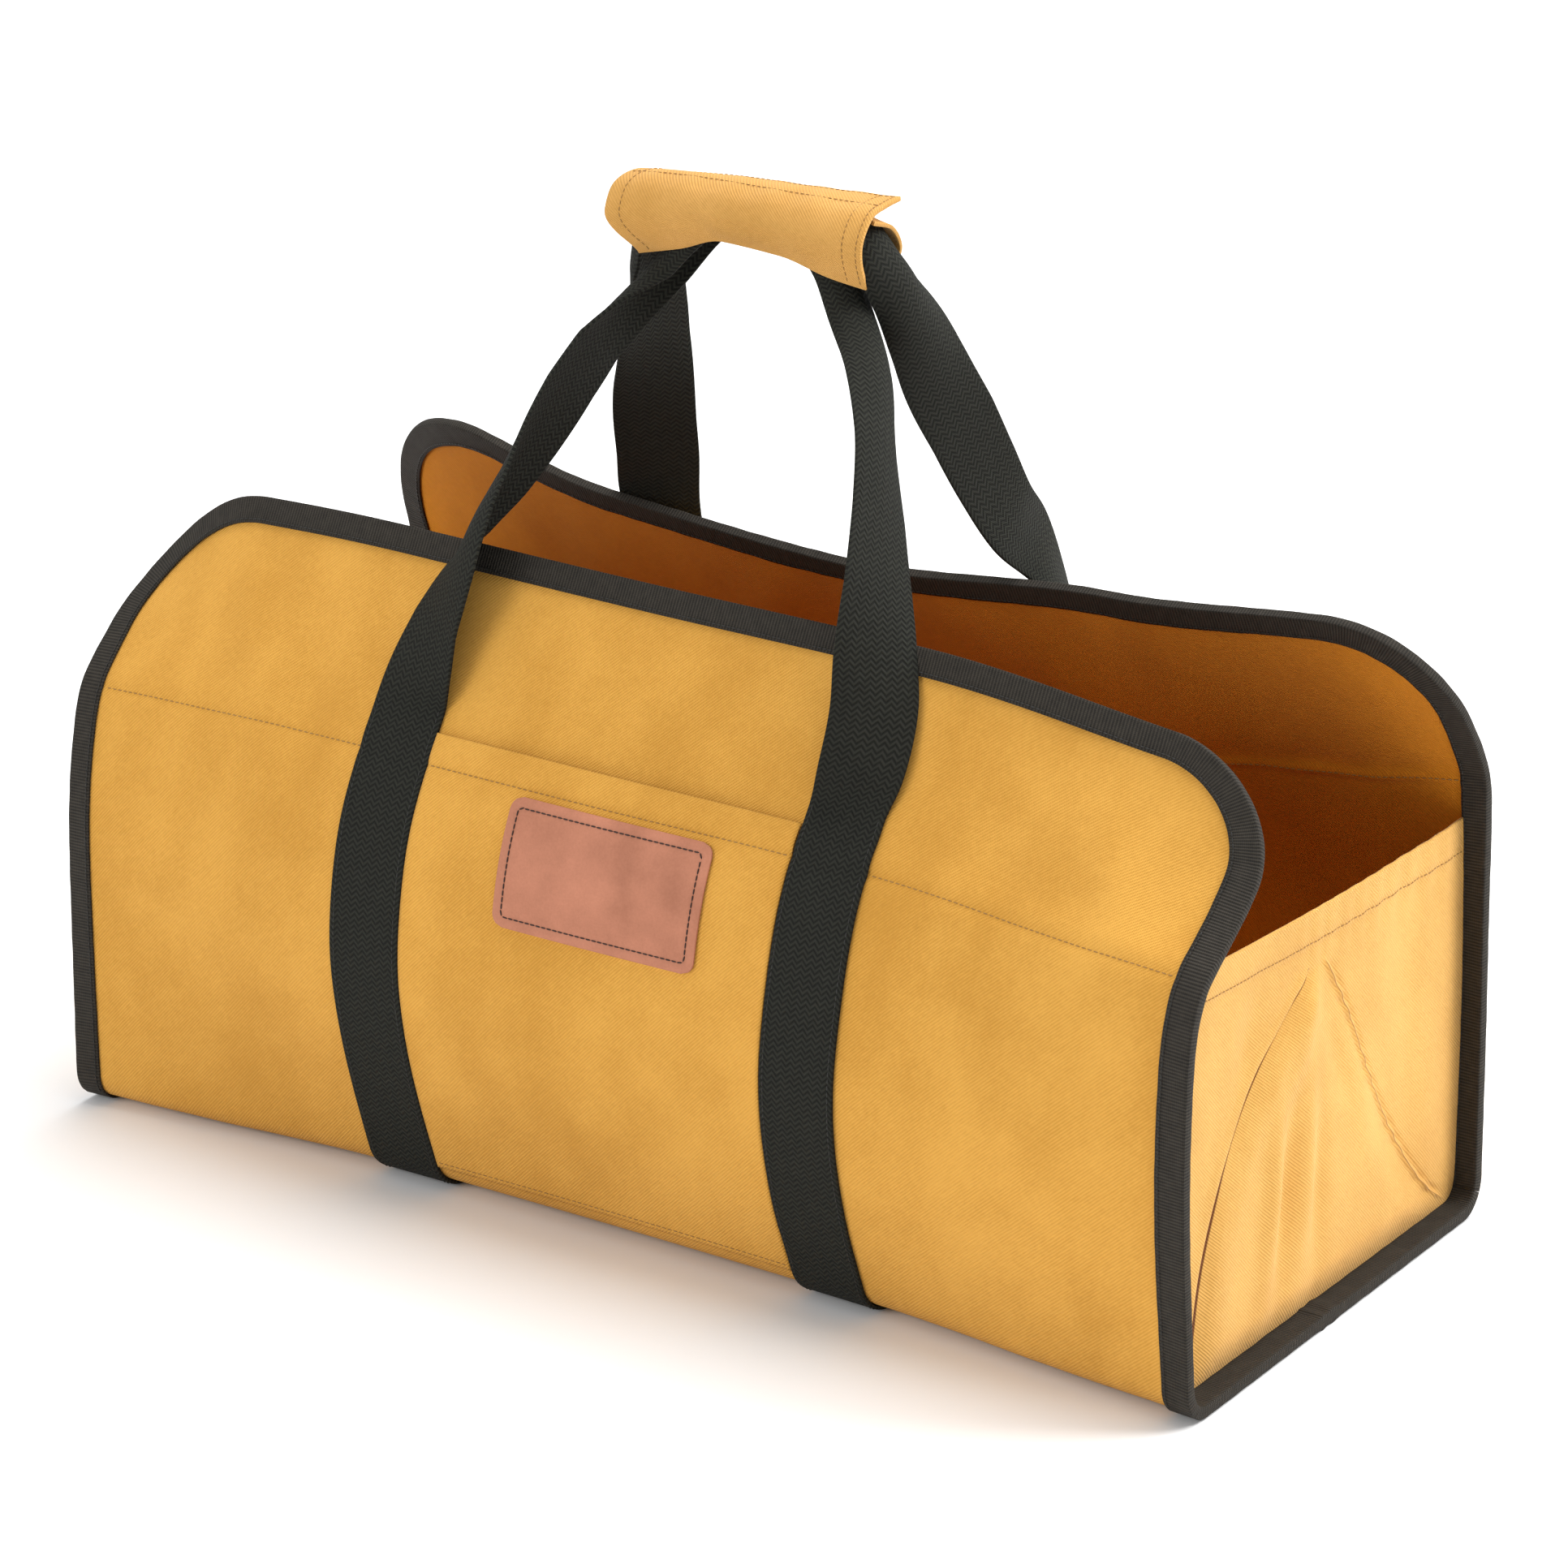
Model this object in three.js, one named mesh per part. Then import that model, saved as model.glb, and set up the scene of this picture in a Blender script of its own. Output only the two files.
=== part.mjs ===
// Canvas log carrier: a trough of heavy canvas, bound all round with ribbed tape,
// closed at both ends by pleated gussets and carried by two loops of webbing.
// Millimetres. X runs along the length, Y from the front (-) to the back (+), Z up.
// The object stands on the undersides of its straps; its origin is under its middle.
import * as THREE from 'three';
import { mergeVertices } from 'three/addons/utils/BufferGeometryUtils.js';

// Driving sizes of the canvas body.
const bodyLength = 598; // over the edge binding, before the leads of the right end
const halfGirth = 431; // from the middle of the base to the rim, along the canvas
const seamGirth = 330; // from the middle of the base to the flap seam
const endBase = 134; // half width of the base at the ends
const frontLead = 12; // how far the right end's front corner stands beyond half the length
const backLead = -3; // the same at its back corner, which stands short of it
const bottomRadius = 17; // turn between base and side, midway along
const canvasWall = 1.5;
const sewnGap = 0.35; // left between layers that are sewn to each other
const edgeMargin = 1; // shared rows and columns this near to a piece's own edge are left out

// Rounded corners of the two flaps.
const cornerRadius = { frontLeft: 70, frontRight: 52, backLeft: 90, backRight: 60 };

// Edge binding.
const tapeWall = 1.0;
const tapeCover = 12.5; // how far the folded tape reaches over the cloth
const tapeRise = 25; // length over which the tape steps down past the gusset's top
const tapeGap = 0.65; // between the tape and the cloth it folds over
const tapeEase = 0.9; // how far more it stands off where it is eased round the corners

// Straps.
const strapWidth = 38;
const strapWall = 1.8;
const strapSpacing = 233; // between the middles of the two sewn runs
const strapSewnGirth = 353; // where the sewing ends and the strap comes free
const strapStack = 1.5; // left between the two straps inside the grip
const strapStep = 16; // length of strap between two sections of its free run

// Grip.
const gripLength = 140;
const gripCentreX = -9; // from the middle of the carrier
const gripWall = 2.2;
const gripHeight = 463; // top of the grip above the surface the carrier stands on
const gripRadius = 15.8; // of the inside of the arch, from front to back
const gripSeat = 0.8; // left between the arch and the upper strap

// Gussets.
const gussetWall = 1.1;
const gussetHem = 17;
const hemStep = 1.5; // length over which a turned hem steps up in thickness
const gussetFrontGirth = 330; // where the gusset's top meets the front
const gussetBackGirth = 312; // where it meets the back
const foldStand = 5; // how far the fold's triangle stands out
const foldLip = 4; // width of the step along each crease

// Pocket and patch on the front.
const pocketWall = 1.2;
const pocketBottomGirth = 128;
const pocketTopGirth = 344;
const pocketHem = 14;
const pocketHemWall = 0.6; // what the turned hem adds
const patchWidth = 107;
const patchHeight = 57;
const patchWall = 1.6;
const patchRadius = 6;
const patchCentreX = 8; // from the middle of the carrier
const patchBottomGirth = 269;

const halfLength = bodyLength / 2;
const strapCentre = strapSpacing / 2;
const clothEdge = tapeWall + tapeGap; // the canvas stops this far inside the binding
const standHeight = canvasWall + sewnGap + strapWall; // inside of the base above the surface

// How the two sides stand. Each row is a cross-section of one side.
// station: share of half the length. base: share of the half width of the base at the ends.
// turn: share of the bottom radius. Then the lean of the canvas in degrees from upright,
// outward positive, at the heights named in leanColumns.
const leanColumns = ['foot', 'low', 'belly', 'high', 'shoulder', 'seam', 'fold', 'flap', 'rim'];
const leanShares = [0, 0.16, 0.32, 0.43, 0.53, 0.63, 0.7, 0.8, 1];
const frontSections = [
  { station: -1, base: 1, turn: 0.8, lean: [0, 0, 0, -2, -8, -16, -46, -50, -32] },
  { station: -0.8, base: 0.95, turn: 0.65, lean: [8, 7, 4, -2, -10, -20, -34, -36, -30] },
  { station: -0.45, base: 0.895, turn: 0.94, lean: [20, 17, 9, -5, -14, -28, -32, -31, -28] },
  { station: 0, base: 0.888, turn: 1, lean: [22, 19, 8, -6, -13, -25, -33, -31, -28] },
  { station: 0.45, base: 0.895, turn: 0.94, lean: [22, 18, 5, -9, -14, -24, -34, -31, -28] },
  { station: 0.8, base: 0.95, turn: 0.65, lean: [12, 12, 5, -4, -9, -22, -42, -40, -28] },
  { station: 1, base: 1, turn: 0.8, lean: [5, 5, 2, -1, -4, -24, -56, -46, -14] },
];
const backSections = [
  { station: -1, base: 1, turn: 0.8, lean: [0, 0, 0, -2, -6, -12, -18, -22, -24] },
  { station: -0.8, base: 0.985, turn: 0.65, lean: [8, 7, 1, -8, -18, -24, -26, -28, -26] },
  { station: -0.45, base: 1.015, turn: 0.94, lean: [16, 12, 0, -16, -33, -36, -32, -31.5, -31.5] },
  { station: 0, base: 1.03, turn: 1, lean: [16, 12, 0, -16, -34, -38, -33.5, -35, -35] },
  { station: 0.45, base: 1.015, turn: 0.94, lean: [16, 12, 0, -16, -33, -36, -28, -26.5, -26.5] },
  { station: 0.8, base: 0.985, turn: 0.65, lean: [8, 6, 0, -7, -14, -20, -27.5, -31.5, -27.5] },
  { station: 1, base: 0.97, turn: 0.8, lean: [0, 0, -1, -1, 0, -4, -26, -36, -24] },
];

// The free legs and the run inside the grip, from the left leg to the right one.
// x: share of strapCentre. y: share of endBase. rise: share of the height from the end of the
// sewing to the strap's run in the grip. twist: degrees about the strap's own line.
// bow: how far its width is bowed into the grip's round, 1 being fully.
const frontStrapRoute = [
  { x: -0.98, y: -0.9, rise: 0.07, twist: -12, bow: 0 },
  { x: -0.9, y: -0.85, rise: 0.17, twist: -36, bow: 0 },
  { x: -0.83, y: -0.86, rise: 0.285, twist: -57, bow: 0 },
  { x: -0.795, y: -0.665, rise: 0.37, twist: -77, bow: 0 },
  { x: -0.75, y: -0.5, rise: 0.45, twist: -88, bow: 0 },
  { x: -0.715, y: -0.415, rise: 0.53, twist: -98, bow: 0 },
  { x: -0.67, y: -0.33, rise: 0.614, twist: -101, bow: 0 },
  { x: -0.62, y: -0.25, rise: 0.693, twist: -97, bow: 0.1 },
  { x: -0.57, y: -0.15, rise: 0.77, twist: -94, bow: 0.5 },
  { x: -0.48, y: -0.05, rise: 0.85, twist: -91, bow: 1 },
  { x: -0.38, y: -0.01, rise: 0.92, twist: -90, bow: 1 },
  { x: -0.26, y: 0, rise: 0.975, twist: -90, bow: 1 },
  { x: -0.14, y: 0, rise: 1, twist: -90, bow: 1 },
  { x: 0.12, y: 0, rise: 1, twist: -90, bow: 1 },
  { x: 0.24, y: 0, rise: 0.975, twist: -90, bow: 1 },
  { x: 0.35, y: -0.01, rise: 0.92, twist: -91, bow: 1 },
  { x: 0.45, y: -0.05, rise: 0.85, twist: -96, bow: 1 },
  { x: 0.63, y: -0.17, rise: 0.754, twist: -102, bow: 0.6 },
  { x: 0.755, y: -0.31, rise: 0.64, twist: -104, bow: 0.3 },
  { x: 0.845, y: -0.44, rise: 0.523, twist: -95, bow: 0.1 },
  { x: 0.94, y: -0.58, rise: 0.405, twist: -80, bow: 0 },
  { x: 1.035, y: -0.745, rise: 0.29, twist: -60, bow: 0 },
  { x: 1.06, y: -0.825, rise: 0.18, twist: -33, bow: 0 },
  { x: 1.03, y: -0.89, rise: 0.085, twist: -9, bow: 0 },
];
const backStrapRoute = [
  { x: -1, y: 0.56, rise: 0.255, twist: 25, bow: 0 },
  { x: -0.93, y: 0.465, rise: 0.365, twist: 35, bow: 0 },
  { x: -0.89, y: 0.4, rise: 0.447, twist: 42, bow: 0 },
  { x: -0.84, y: 0.335, rise: 0.524, twist: 54, bow: 0 },
  { x: -0.785, y: 0.27, rise: 0.61, twist: 70, bow: 0 },
  { x: -0.735, y: 0.2, rise: 0.696, twist: 80, bow: 0.2 },
  { x: -0.7, y: 0.12, rise: 0.78, twist: 86, bow: 0.6 },
  { x: -0.65, y: 0.04, rise: 0.86, twist: 90, bow: 1 },
  { x: -0.57, y: 0, rise: 0.925, twist: 90, bow: 1 },
  { x: -0.44, y: 0, rise: 0.978, twist: 90, bow: 1 },
  { x: -0.27, y: 0, rise: 0.998, twist: 90, bow: 1 },
  { x: 0.25, y: 0, rise: 1, twist: 90, bow: 1 },
  { x: 0.42, y: 0, rise: 0.985, twist: 90, bow: 1 },
  { x: 0.54, y: 0, rise: 0.93, twist: 91, bow: 1 },
  { x: 0.59, y: 0.05, rise: 0.86, twist: 94, bow: 1 },
  { x: 0.6, y: 0.13, rise: 0.773, twist: 100, bow: 0.6 },
  { x: 0.605, y: 0.21, rise: 0.68, twist: 107, bow: 0.25 },
  { x: 0.635, y: 0.3, rise: 0.585, twist: 108, bow: 0 },
  { x: 0.67, y: 0.39, rise: 0.49, twist: 106, bow: 0 },
  { x: 0.72, y: 0.48, rise: 0.395, twist: 99, bow: 0 },
  { x: 0.725, y: 0.65, rise: 0.31, twist: 80, bow: 0 },
  { x: 0.79, y: 0.705, rise: 0.245, twist: 66, bow: 0 },
  { x: 0.925, y: 0.75, rise: 0.12, twist: 30, bow: 0 },
];

// The creases of the end fold, as shares of half the base width and of the fold's height.
// rise 1 is the fold's peak; front and back give the two creases beside the middle line.
const foldPeakGirth = 0.89; // share of the gusset's front girth where the creases meet
const foldCreases = [
  { rise: 0, front: -0.9, back: 0.93 },
  { rise: 0.12, front: -0.87, back: 0.72 },
  { rise: 0.3, front: -0.8, back: 0.52 },
  { rise: 0.55, front: -0.64, back: 0.3 },
  { rise: 0.8, front: -0.36, back: 0.14 },
  { rise: 1, front: -0.05, back: 0.03 },
];

// Grip sections, left to right. station: share of half the grip's length. bend: height of the
// section's own middle against the grip's. front, back: how far the sides hang below the arch.
// All three are shares of gripRadius.
const gripSections = [
  { station: -1, bend: -0.3, front: 1.15, back: 0.5 },
  { station: -0.7, bend: -0.16, front: 1.2, back: 0.55 },
  { station: -0.35, bend: -0.03, front: 0.6, back: 0.45 },
  { station: 0, bend: 0, front: 0.35, back: 0.4 },
  { station: 0.4, bend: 0.04, front: 0.6, back: 0.5 },
  { station: 0.75, bend: 0.08, front: 1, back: 0.55 },
  { station: 1, bend: 0.1, front: 1.12, back: 0.5 },
];

const canvas = new THREE.MeshStandardMaterial({ color: 0xe0a84a, roughness: 0.85, metalness: 0 });
const webbing = new THREE.MeshStandardMaterial({ color: 0x2d2c28, roughness: 0.8, metalness: 0 });
const tape = new THREE.MeshStandardMaterial({ color: 0x33322e, roughness: 0.75, metalness: 0 });
const leather = new THREE.MeshStandardMaterial({ color: 0xc07f66, roughness: 0.6, metalness: 0 });

const group = new THREE.Group();

function addPiece(name, geometry, material) {
  const mesh = new THREE.Mesh(geometry, material);
  mesh.name = name;
  group.add(mesh);
}

// A smooth curve through the points (xs, ys) that never swings past them.
function smoothCurve(xs, ys) {
  const slopes = xs.slice(1).map((x, i) => (ys[i + 1] - ys[i]) / (x - xs[i]));
  const tangents = xs.map((x, i) => {
    const before = slopes[Math.max(i - 1, 0)];
    const after = slopes[Math.min(i, slopes.length - 1)];
    if (before * after <= 0) return 0;
    return (2 * before * after) / (before + after);
  });
  return (x) => {
    const at = Math.min(Math.max(x, xs[0]), xs[xs.length - 1]);
    let i = 0;
    while (i < xs.length - 2 && at > xs[i + 1]) i += 1;
    const span = xs[i + 1] - xs[i];
    const t = (at - xs[i]) / span;
    const eased = t * t * (3 - 2 * t);
    const leaving = tangents[i] * span * t * (1 - t) ** 2;
    const arriving = tangents[i + 1] * span * t * t * (t - 1);
    return ys[i] + (ys[i + 1] - ys[i]) * eased + leaving + arriving;
  };
}

// One curve for every column of a side's table.
function sideCurves(sections) {
  const stations = sections.map((row) => row.station);
  return {
    base: smoothCurve(stations, sections.map((row) => row.base * endBase)),
    turn: smoothCurve(stations, sections.map((row) => row.turn * bottomRadius)),
    lean: leanColumns.map((name, i) => smoothCurve(stations, sections.map((row) => row.lean[i]))),
  };
}

const frontCurves = sideCurves(frontSections);
const backCurves = sideCurves(backSections);

// The canvas's line in one cross-section, walked along its girth in steps of about 1 mm.
const walked = new Map();
function sectionLine(x, curves, side) {
  const key = `${side}:${x.toFixed(3)}`;
  if (walked.has(key)) return walked.get(key);
  const station = x / halfLength;
  const radius = curves.turn(station);
  const flat = curves.base(station) - radius;
  const arc = (radius * Math.PI) / 2;
  const sideStart = flat + arc / 2;
  const lean = smoothCurve(leanShares, curves.lean.map((curve) => curve(station)));
  const steps = Math.ceil(halfGirth);
  const stride = halfGirth / steps;
  const line = [];
  let y = 0;
  let z = 0;
  for (let i = 0; i <= steps; i += 1) {
    const girth = i * stride;
    const turned = Math.min(Math.max((girth - flat) / arc, 0), 1);
    const share = Math.min(Math.max((girth - sideStart) / (halfGirth - sideStart), 0), 1);
    const angle = THREE.MathUtils.degToRad(turned * (90 - lean(share)));
    line.push({ y, z, angle });
    y += Math.cos(angle) * stride;
    z += Math.sin(angle) * stride;
  }
  const result = { line, stride };
  walked.set(key, result);
  return result;
}

// How far the cloth near the right end leads its place, from the base's front corner at
// share -1 to its back corner at share 1.
function endLead(x, share) {
  const station = Math.max(x / halfLength, 0);
  const across = (THREE.MathUtils.clamp(share, -1, 1) + 1) / 2;
  return station ** 3 * (frontLead + (backLead - frontLead) * across);
}

// A point of the body's cloth. x: along the length. girth: along the canvas from the middle
// of the base, front negative. out: distance outward from the canvas's inner face.
function clothPoint(x, girth, out) {
  const side = girth < 0 ? -1 : 1;
  const curves = girth < 0 ? frontCurves : backCurves;
  const { line, stride } = sectionLine(x, curves, side);
  const at = Math.min(Math.abs(girth) / stride, line.length - 1.001);
  const i = Math.floor(at);
  const t = at - i;
  const angle = line[i].angle * (1 - t) + line[i + 1].angle * t;
  const y = line[i].y * (1 - t) + line[i + 1].y * t + Math.sin(angle) * out;
  const z = line[i].z * (1 - t) + line[i + 1].z * t - Math.cos(angle) * out;
  return new THREE.Vector3(x + endLead(x, girth / endBase), side * y, z + standHeight);
}

// Turns a list of points and triangles into one closed geometry facing outward.
function closedBody(points, triangles) {
  const positions = new Float32Array(points.length * 3);
  points.forEach((p, i) => positions.set([p.x, p.y, p.z], i * 3));
  const geometry = new THREE.BufferGeometry();
  geometry.setAttribute('position', new THREE.BufferAttribute(positions, 3));
  geometry.setIndex(triangles);
  const merged = mergeVertices(geometry, 0.001);
  const index = merged.index.array;
  const corner = merged.attributes.position;
  const kept = [];
  let volume = 0;
  const a = new THREE.Vector3();
  const b = new THREE.Vector3();
  const c = new THREE.Vector3();
  for (let i = 0; i < index.length; i += 3) {
    const [p, q, r] = [index[i], index[i + 1], index[i + 2]];
    if (p === q || q === r || r === p) continue;
    kept.push(p, q, r);
    a.fromBufferAttribute(corner, p);
    b.fromBufferAttribute(corner, q);
    c.fromBufferAttribute(corner, r);
    volume += a.dot(b.cross(c));
  }
  if (volume < 0) kept.reverse();
  merged.setIndex(kept);
  merged.computeVertexNormals();
  return merged;
}

// A wall between two grids of points of the same size, closed round its edge.
function sheetBody(outerGrid, innerGrid) {
  const rows = outerGrid.length;
  const columns = outerGrid[0].length;
  const points = [...outerGrid.flat(), ...innerGrid.flat()];
  const inner = rows * columns;
  const triangles = [];
  const at = (row, column) => row * columns + column;
  const quad = (p, q, r, s) => triangles.push(p, q, r, p, r, s);
  for (let i = 0; i < rows - 1; i += 1) {
    for (let j = 0; j < columns - 1; j += 1) {
      quad(at(i, j), at(i, j + 1), at(i + 1, j + 1), at(i + 1, j));
      triangles.push(inner + at(i, j), inner + at(i + 1, j + 1), inner + at(i, j + 1));
      triangles.push(inner + at(i, j), inner + at(i + 1, j), inner + at(i + 1, j + 1));
    }
  }
  const edge = [];
  for (let j = 0; j < columns - 1; j += 1) edge.push(at(0, j));
  for (let i = 0; i < rows - 1; i += 1) edge.push(at(i, columns - 1));
  for (let j = columns - 1; j > 0; j -= 1) edge.push(at(rows - 1, j));
  for (let i = rows - 1; i > 0; i -= 1) edge.push(at(i, 0));
  edge.forEach((p, i) => {
    const q = edge[(i + 1) % edge.length];
    quad(q, p, inner + p, inner + q);
  });
  return closedBody(points, triangles);
}

// A closed section carried through a list of places. capQuads splits the end faces.
function carriedBody(sections, capQuads) {
  const size = sections[0].length;
  const points = sections.flat();
  const triangles = [];
  for (let i = 0; i < sections.length - 1; i += 1) {
    for (let j = 0; j < size; j += 1) {
      const next = (j + 1) % size;
      const [p, q] = [i * size + j, i * size + next];
      triangles.push(p, q, q + size, p, q + size, p + size);
    }
  }
  const last = (sections.length - 1) * size;
  capQuads.forEach(([p, q, r, s]) => {
    triangles.push(p, r, q, p, s, r);
    triangles.push(last + p, last + q, last + r, last + p, last + r, last + s);
  });
  return closedBody(points, triangles);
}

const gussetShare = 0.625; // share of the half girth up to which the gusset is cut square

// Girths shared by the body, the straps, the pocket and the binding, so that sewn layers lie
// parallel. The first rows are close together where the canvas turns up from the base.
const turnRows = [0.24, 0.258, 0.276, 0.324, 0.35].map((share) => share * halfGirth);
const footGirth = turnRows[2]; // where the gussets' bottom flanges meet the turn
const sideRows = [0.39, 0.45, 0.51, 0.567, gussetShare, 0.66, 0.72].map((share) => share * halfGirth);
const flapRows = [0.845, 0.885, 0.925, 0.955].map((share) => share * halfGirth);
const endTurn = bottomRadius * frontSections[0].turn;
const cornerGirth = endBase - endTurn * (1 - Math.PI / 4); // middle of the turn at the ends
const girthRows = [
  0,
  turnRows[0] / 2,
  ...turnRows,
  pocketBottomGirth,
  cornerGirth,
  ...sideRows,
  gussetFrontGirth - gussetHem,
  seamGirth,
  strapSewnGirth,
  pocketTopGirth,
  ...flapRows,
  halfGirth - tapeCover,
  halfGirth - clothEdge,
].sort((a, b) => a - b);

// The gussets' tops slope down to the back. There the rows are drawn in to follow them.
const squareGirth = gussetShare * halfGirth;
function backGirthOf(girth) {
  if (girth <= squareGirth) return girth;
  if (girth >= strapSewnGirth) return girth;
  if (girth <= gussetFrontGirth) {
    const share = (girth - squareGirth) / (gussetFrontGirth - squareGirth);
    return squareGirth + share * (gussetBackGirth - squareGirth);
  }
  const share = (girth - gussetFrontGirth) / (strapSewnGirth - gussetFrontGirth);
  return gussetBackGirth + share * (strapSewnGirth - gussetBackGirth);
}
const girthRowsOn = (side) => (side < 0 ? girthRows : girthRows.map(backGirthOf));

const strapEdge = strapCentre + strapWidth / 2;
const strapInnerEdge = strapCentre - strapWidth / 2;
const patchLeft = patchCentreX - patchWidth / 2;
const patchRight = patchCentreX + patchWidth / 2;
const freeSpan = halfLength - tapeCover - strapEdge; // between a strap and the binding
const lengthColumns = [
  -(halfLength - clothEdge),
  -(halfLength - tapeCover),
  -(strapEdge + freeSpan * 0.9),
  -(strapEdge + freeSpan * 0.75),
  -(strapEdge + freeSpan * 0.5),
  -(strapEdge + freeSpan * 0.25),
  -strapEdge,
  -strapInnerEdge,
  patchLeft,
  patchCentreX,
  patchRight,
  (patchRight + strapInnerEdge) / 2,
  strapInnerEdge,
  strapEdge,
  strapEdge + freeSpan * 0.25,
  strapEdge + freeSpan * 0.5,
  strapEdge + freeSpan * 0.75,
  strapEdge + freeSpan * 0.9,
  halfLength - tapeCover,
  halfLength - clothEdge,
];

function cornerRadiusAt(x, girth) {
  if (girth < 0) return x < 0 ? cornerRadius.frontLeft : cornerRadius.frontRight;
  return x < 0 ? cornerRadius.backLeft : cornerRadius.backRight;
}

// Half the cut length of the cloth at a girth, drawn in by inset from the outline.
function cutHalfLength(x, girth, inset) {
  const radius = cornerRadiusAt(x, girth);
  const above = Math.abs(girth) - (halfGirth - radius);
  const reach = radius - inset;
  if (above <= 0) return halfLength - inset;
  return halfLength - radius + Math.sqrt(Math.max(reach * reach - above * above, 0));
}

// Columns outside the straps close up where the corners of the flaps are cut round.
function fittedColumn(x, girth) {
  const size = Math.abs(x);
  const fixed = strapEdge + freeSpan * 0.25;
  if (size <= fixed) return x;
  const full = halfLength - clothEdge;
  const cut = cutHalfLength(x, girth, clothEdge);
  return Math.sign(x) * (fixed + ((size - fixed) * (cut - fixed)) / (full - fixed));
}

function clothGrid(columns, girths, out) {
  return girths.map((girth) => columns.map((x) => {
    const depth = typeof out === 'function' ? out(girth) : out;
    return clothPoint(fittedColumn(x, girth), girth, depth);
  }));
}

function bodyPanel() {
  const frontGirths = girthRowsOn(-1).slice(1).reverse().map((girth) => -girth);
  const girths = [...frontGirths, ...girthRowsOn(1)];
  return sheetBody(
    clothGrid(lengthColumns, girths, canvasWall),
    clothGrid(lengthColumns, girths, 0),
  );
}

// The eight corners of the folded tape at one place on the cloth's outline.
function tapeSection(x, girth, inwardX, inwardGirth, innerCover, ease) {
  const outerLow = canvasWall + tapeGap + ease;
  const outerHigh = outerLow + tapeWall;
  const innerHigh = -tapeGap - innerCover - ease;
  const innerLow = innerHigh - tapeWall;
  const at = (inset, out) => clothPoint(x + inwardX * inset, girth + inwardGirth * inset, out);
  return [
    at(tapeCover, outerHigh),
    at(0, outerHigh),
    at(0, innerLow),
    at(tapeCover, innerLow),
    at(tapeCover, innerHigh),
    at(tapeWall, innerHigh),
    at(tapeWall, outerLow),
    at(tapeCover, outerLow),
  ];
}
const tapeCaps = [[0, 1, 6, 7], [1, 2, 5, 6], [2, 3, 4, 5]];

// How much gusset lies under the tape's inner leg at a girth.
function gussetCover(girth) {
  const top = girth < 0 ? gussetFrontGirth : gussetBackGirth;
  const past = (Math.abs(girth) - top) / tapeRise;
  return (gussetWall + sewnGap) * (1 - THREE.MathUtils.smoothstep(past, 0.1, 1));
}

function rimBinding(side) {
  const girths = girthRowsOn(side).filter((girth) => girth > cornerGirth);
  const start = cornerGirth + sewnGap;
  const sections = [];
  const addEnd = (end, order) => {
    const radius = cornerRadiusAt(end, side);
    const straight = [start, ...girths.filter((girth) => girth < halfGirth - radius)];
    const rising = straight.map((girth) => [girth, gussetCover(side * girth)]);
    const arcSteps = 8;
    const arcPlaces = [];
    for (let i = 0; i <= arcSteps; i += 1) arcPlaces.push((Math.PI / 2) * (i / arcSteps));
    const endSections = rising.map(([girth, cover]) => (
      tapeSection(end * halfLength, side * girth, -end, 0, cover, 0)
    ));
    arcPlaces.forEach((angle) => {
      const x = end * (halfLength - radius + radius * Math.cos(angle));
      const girth = side * (halfGirth - radius + radius * Math.sin(angle));
      const cover = gussetCover(girth);
      const ease = tapeEase * (Math.sin(angle) * 0.4 + Math.sin(2 * angle) * 0.6);
      const [inX, inGirth] = [-end * Math.cos(angle), -side * Math.sin(angle)];
      endSections.push(tapeSection(x, girth, inX, inGirth, cover, ease));
    });
    sections.push(...(order > 0 ? endSections : endSections.reverse()));
  };
  addEnd(1, 1);
  const leftReach = halfLength - cornerRadiusAt(-1, side);
  const rightReach = halfLength - cornerRadiusAt(1, side);
  const along = lengthColumns.filter((x) => x > -leftReach + edgeMargin && x < rightReach - edgeMargin).reverse();
  along.forEach((x) => sections.push(tapeSection(x, side * halfGirth, 0, -side, 0, tapeEase * 0.4)));
  addEnd(-1, -1);
  return carriedBody(sections, tapeCaps);
}

function baseBinding(end) {
  const inner = girthRows.filter((girth) => girth < cornerGirth && girth > 0);
  const stop = cornerGirth - sewnGap;
  const girths = [-stop, ...inner.map((girth) => -girth).reverse(), 0, ...inner, stop];
  const cover = gussetWall + sewnGap;
  return carriedBody(
    girths.map((girth) => tapeSection(end * halfLength, girth, -end, 0, cover, 0)),
    tapeCaps,
  );
}

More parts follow.
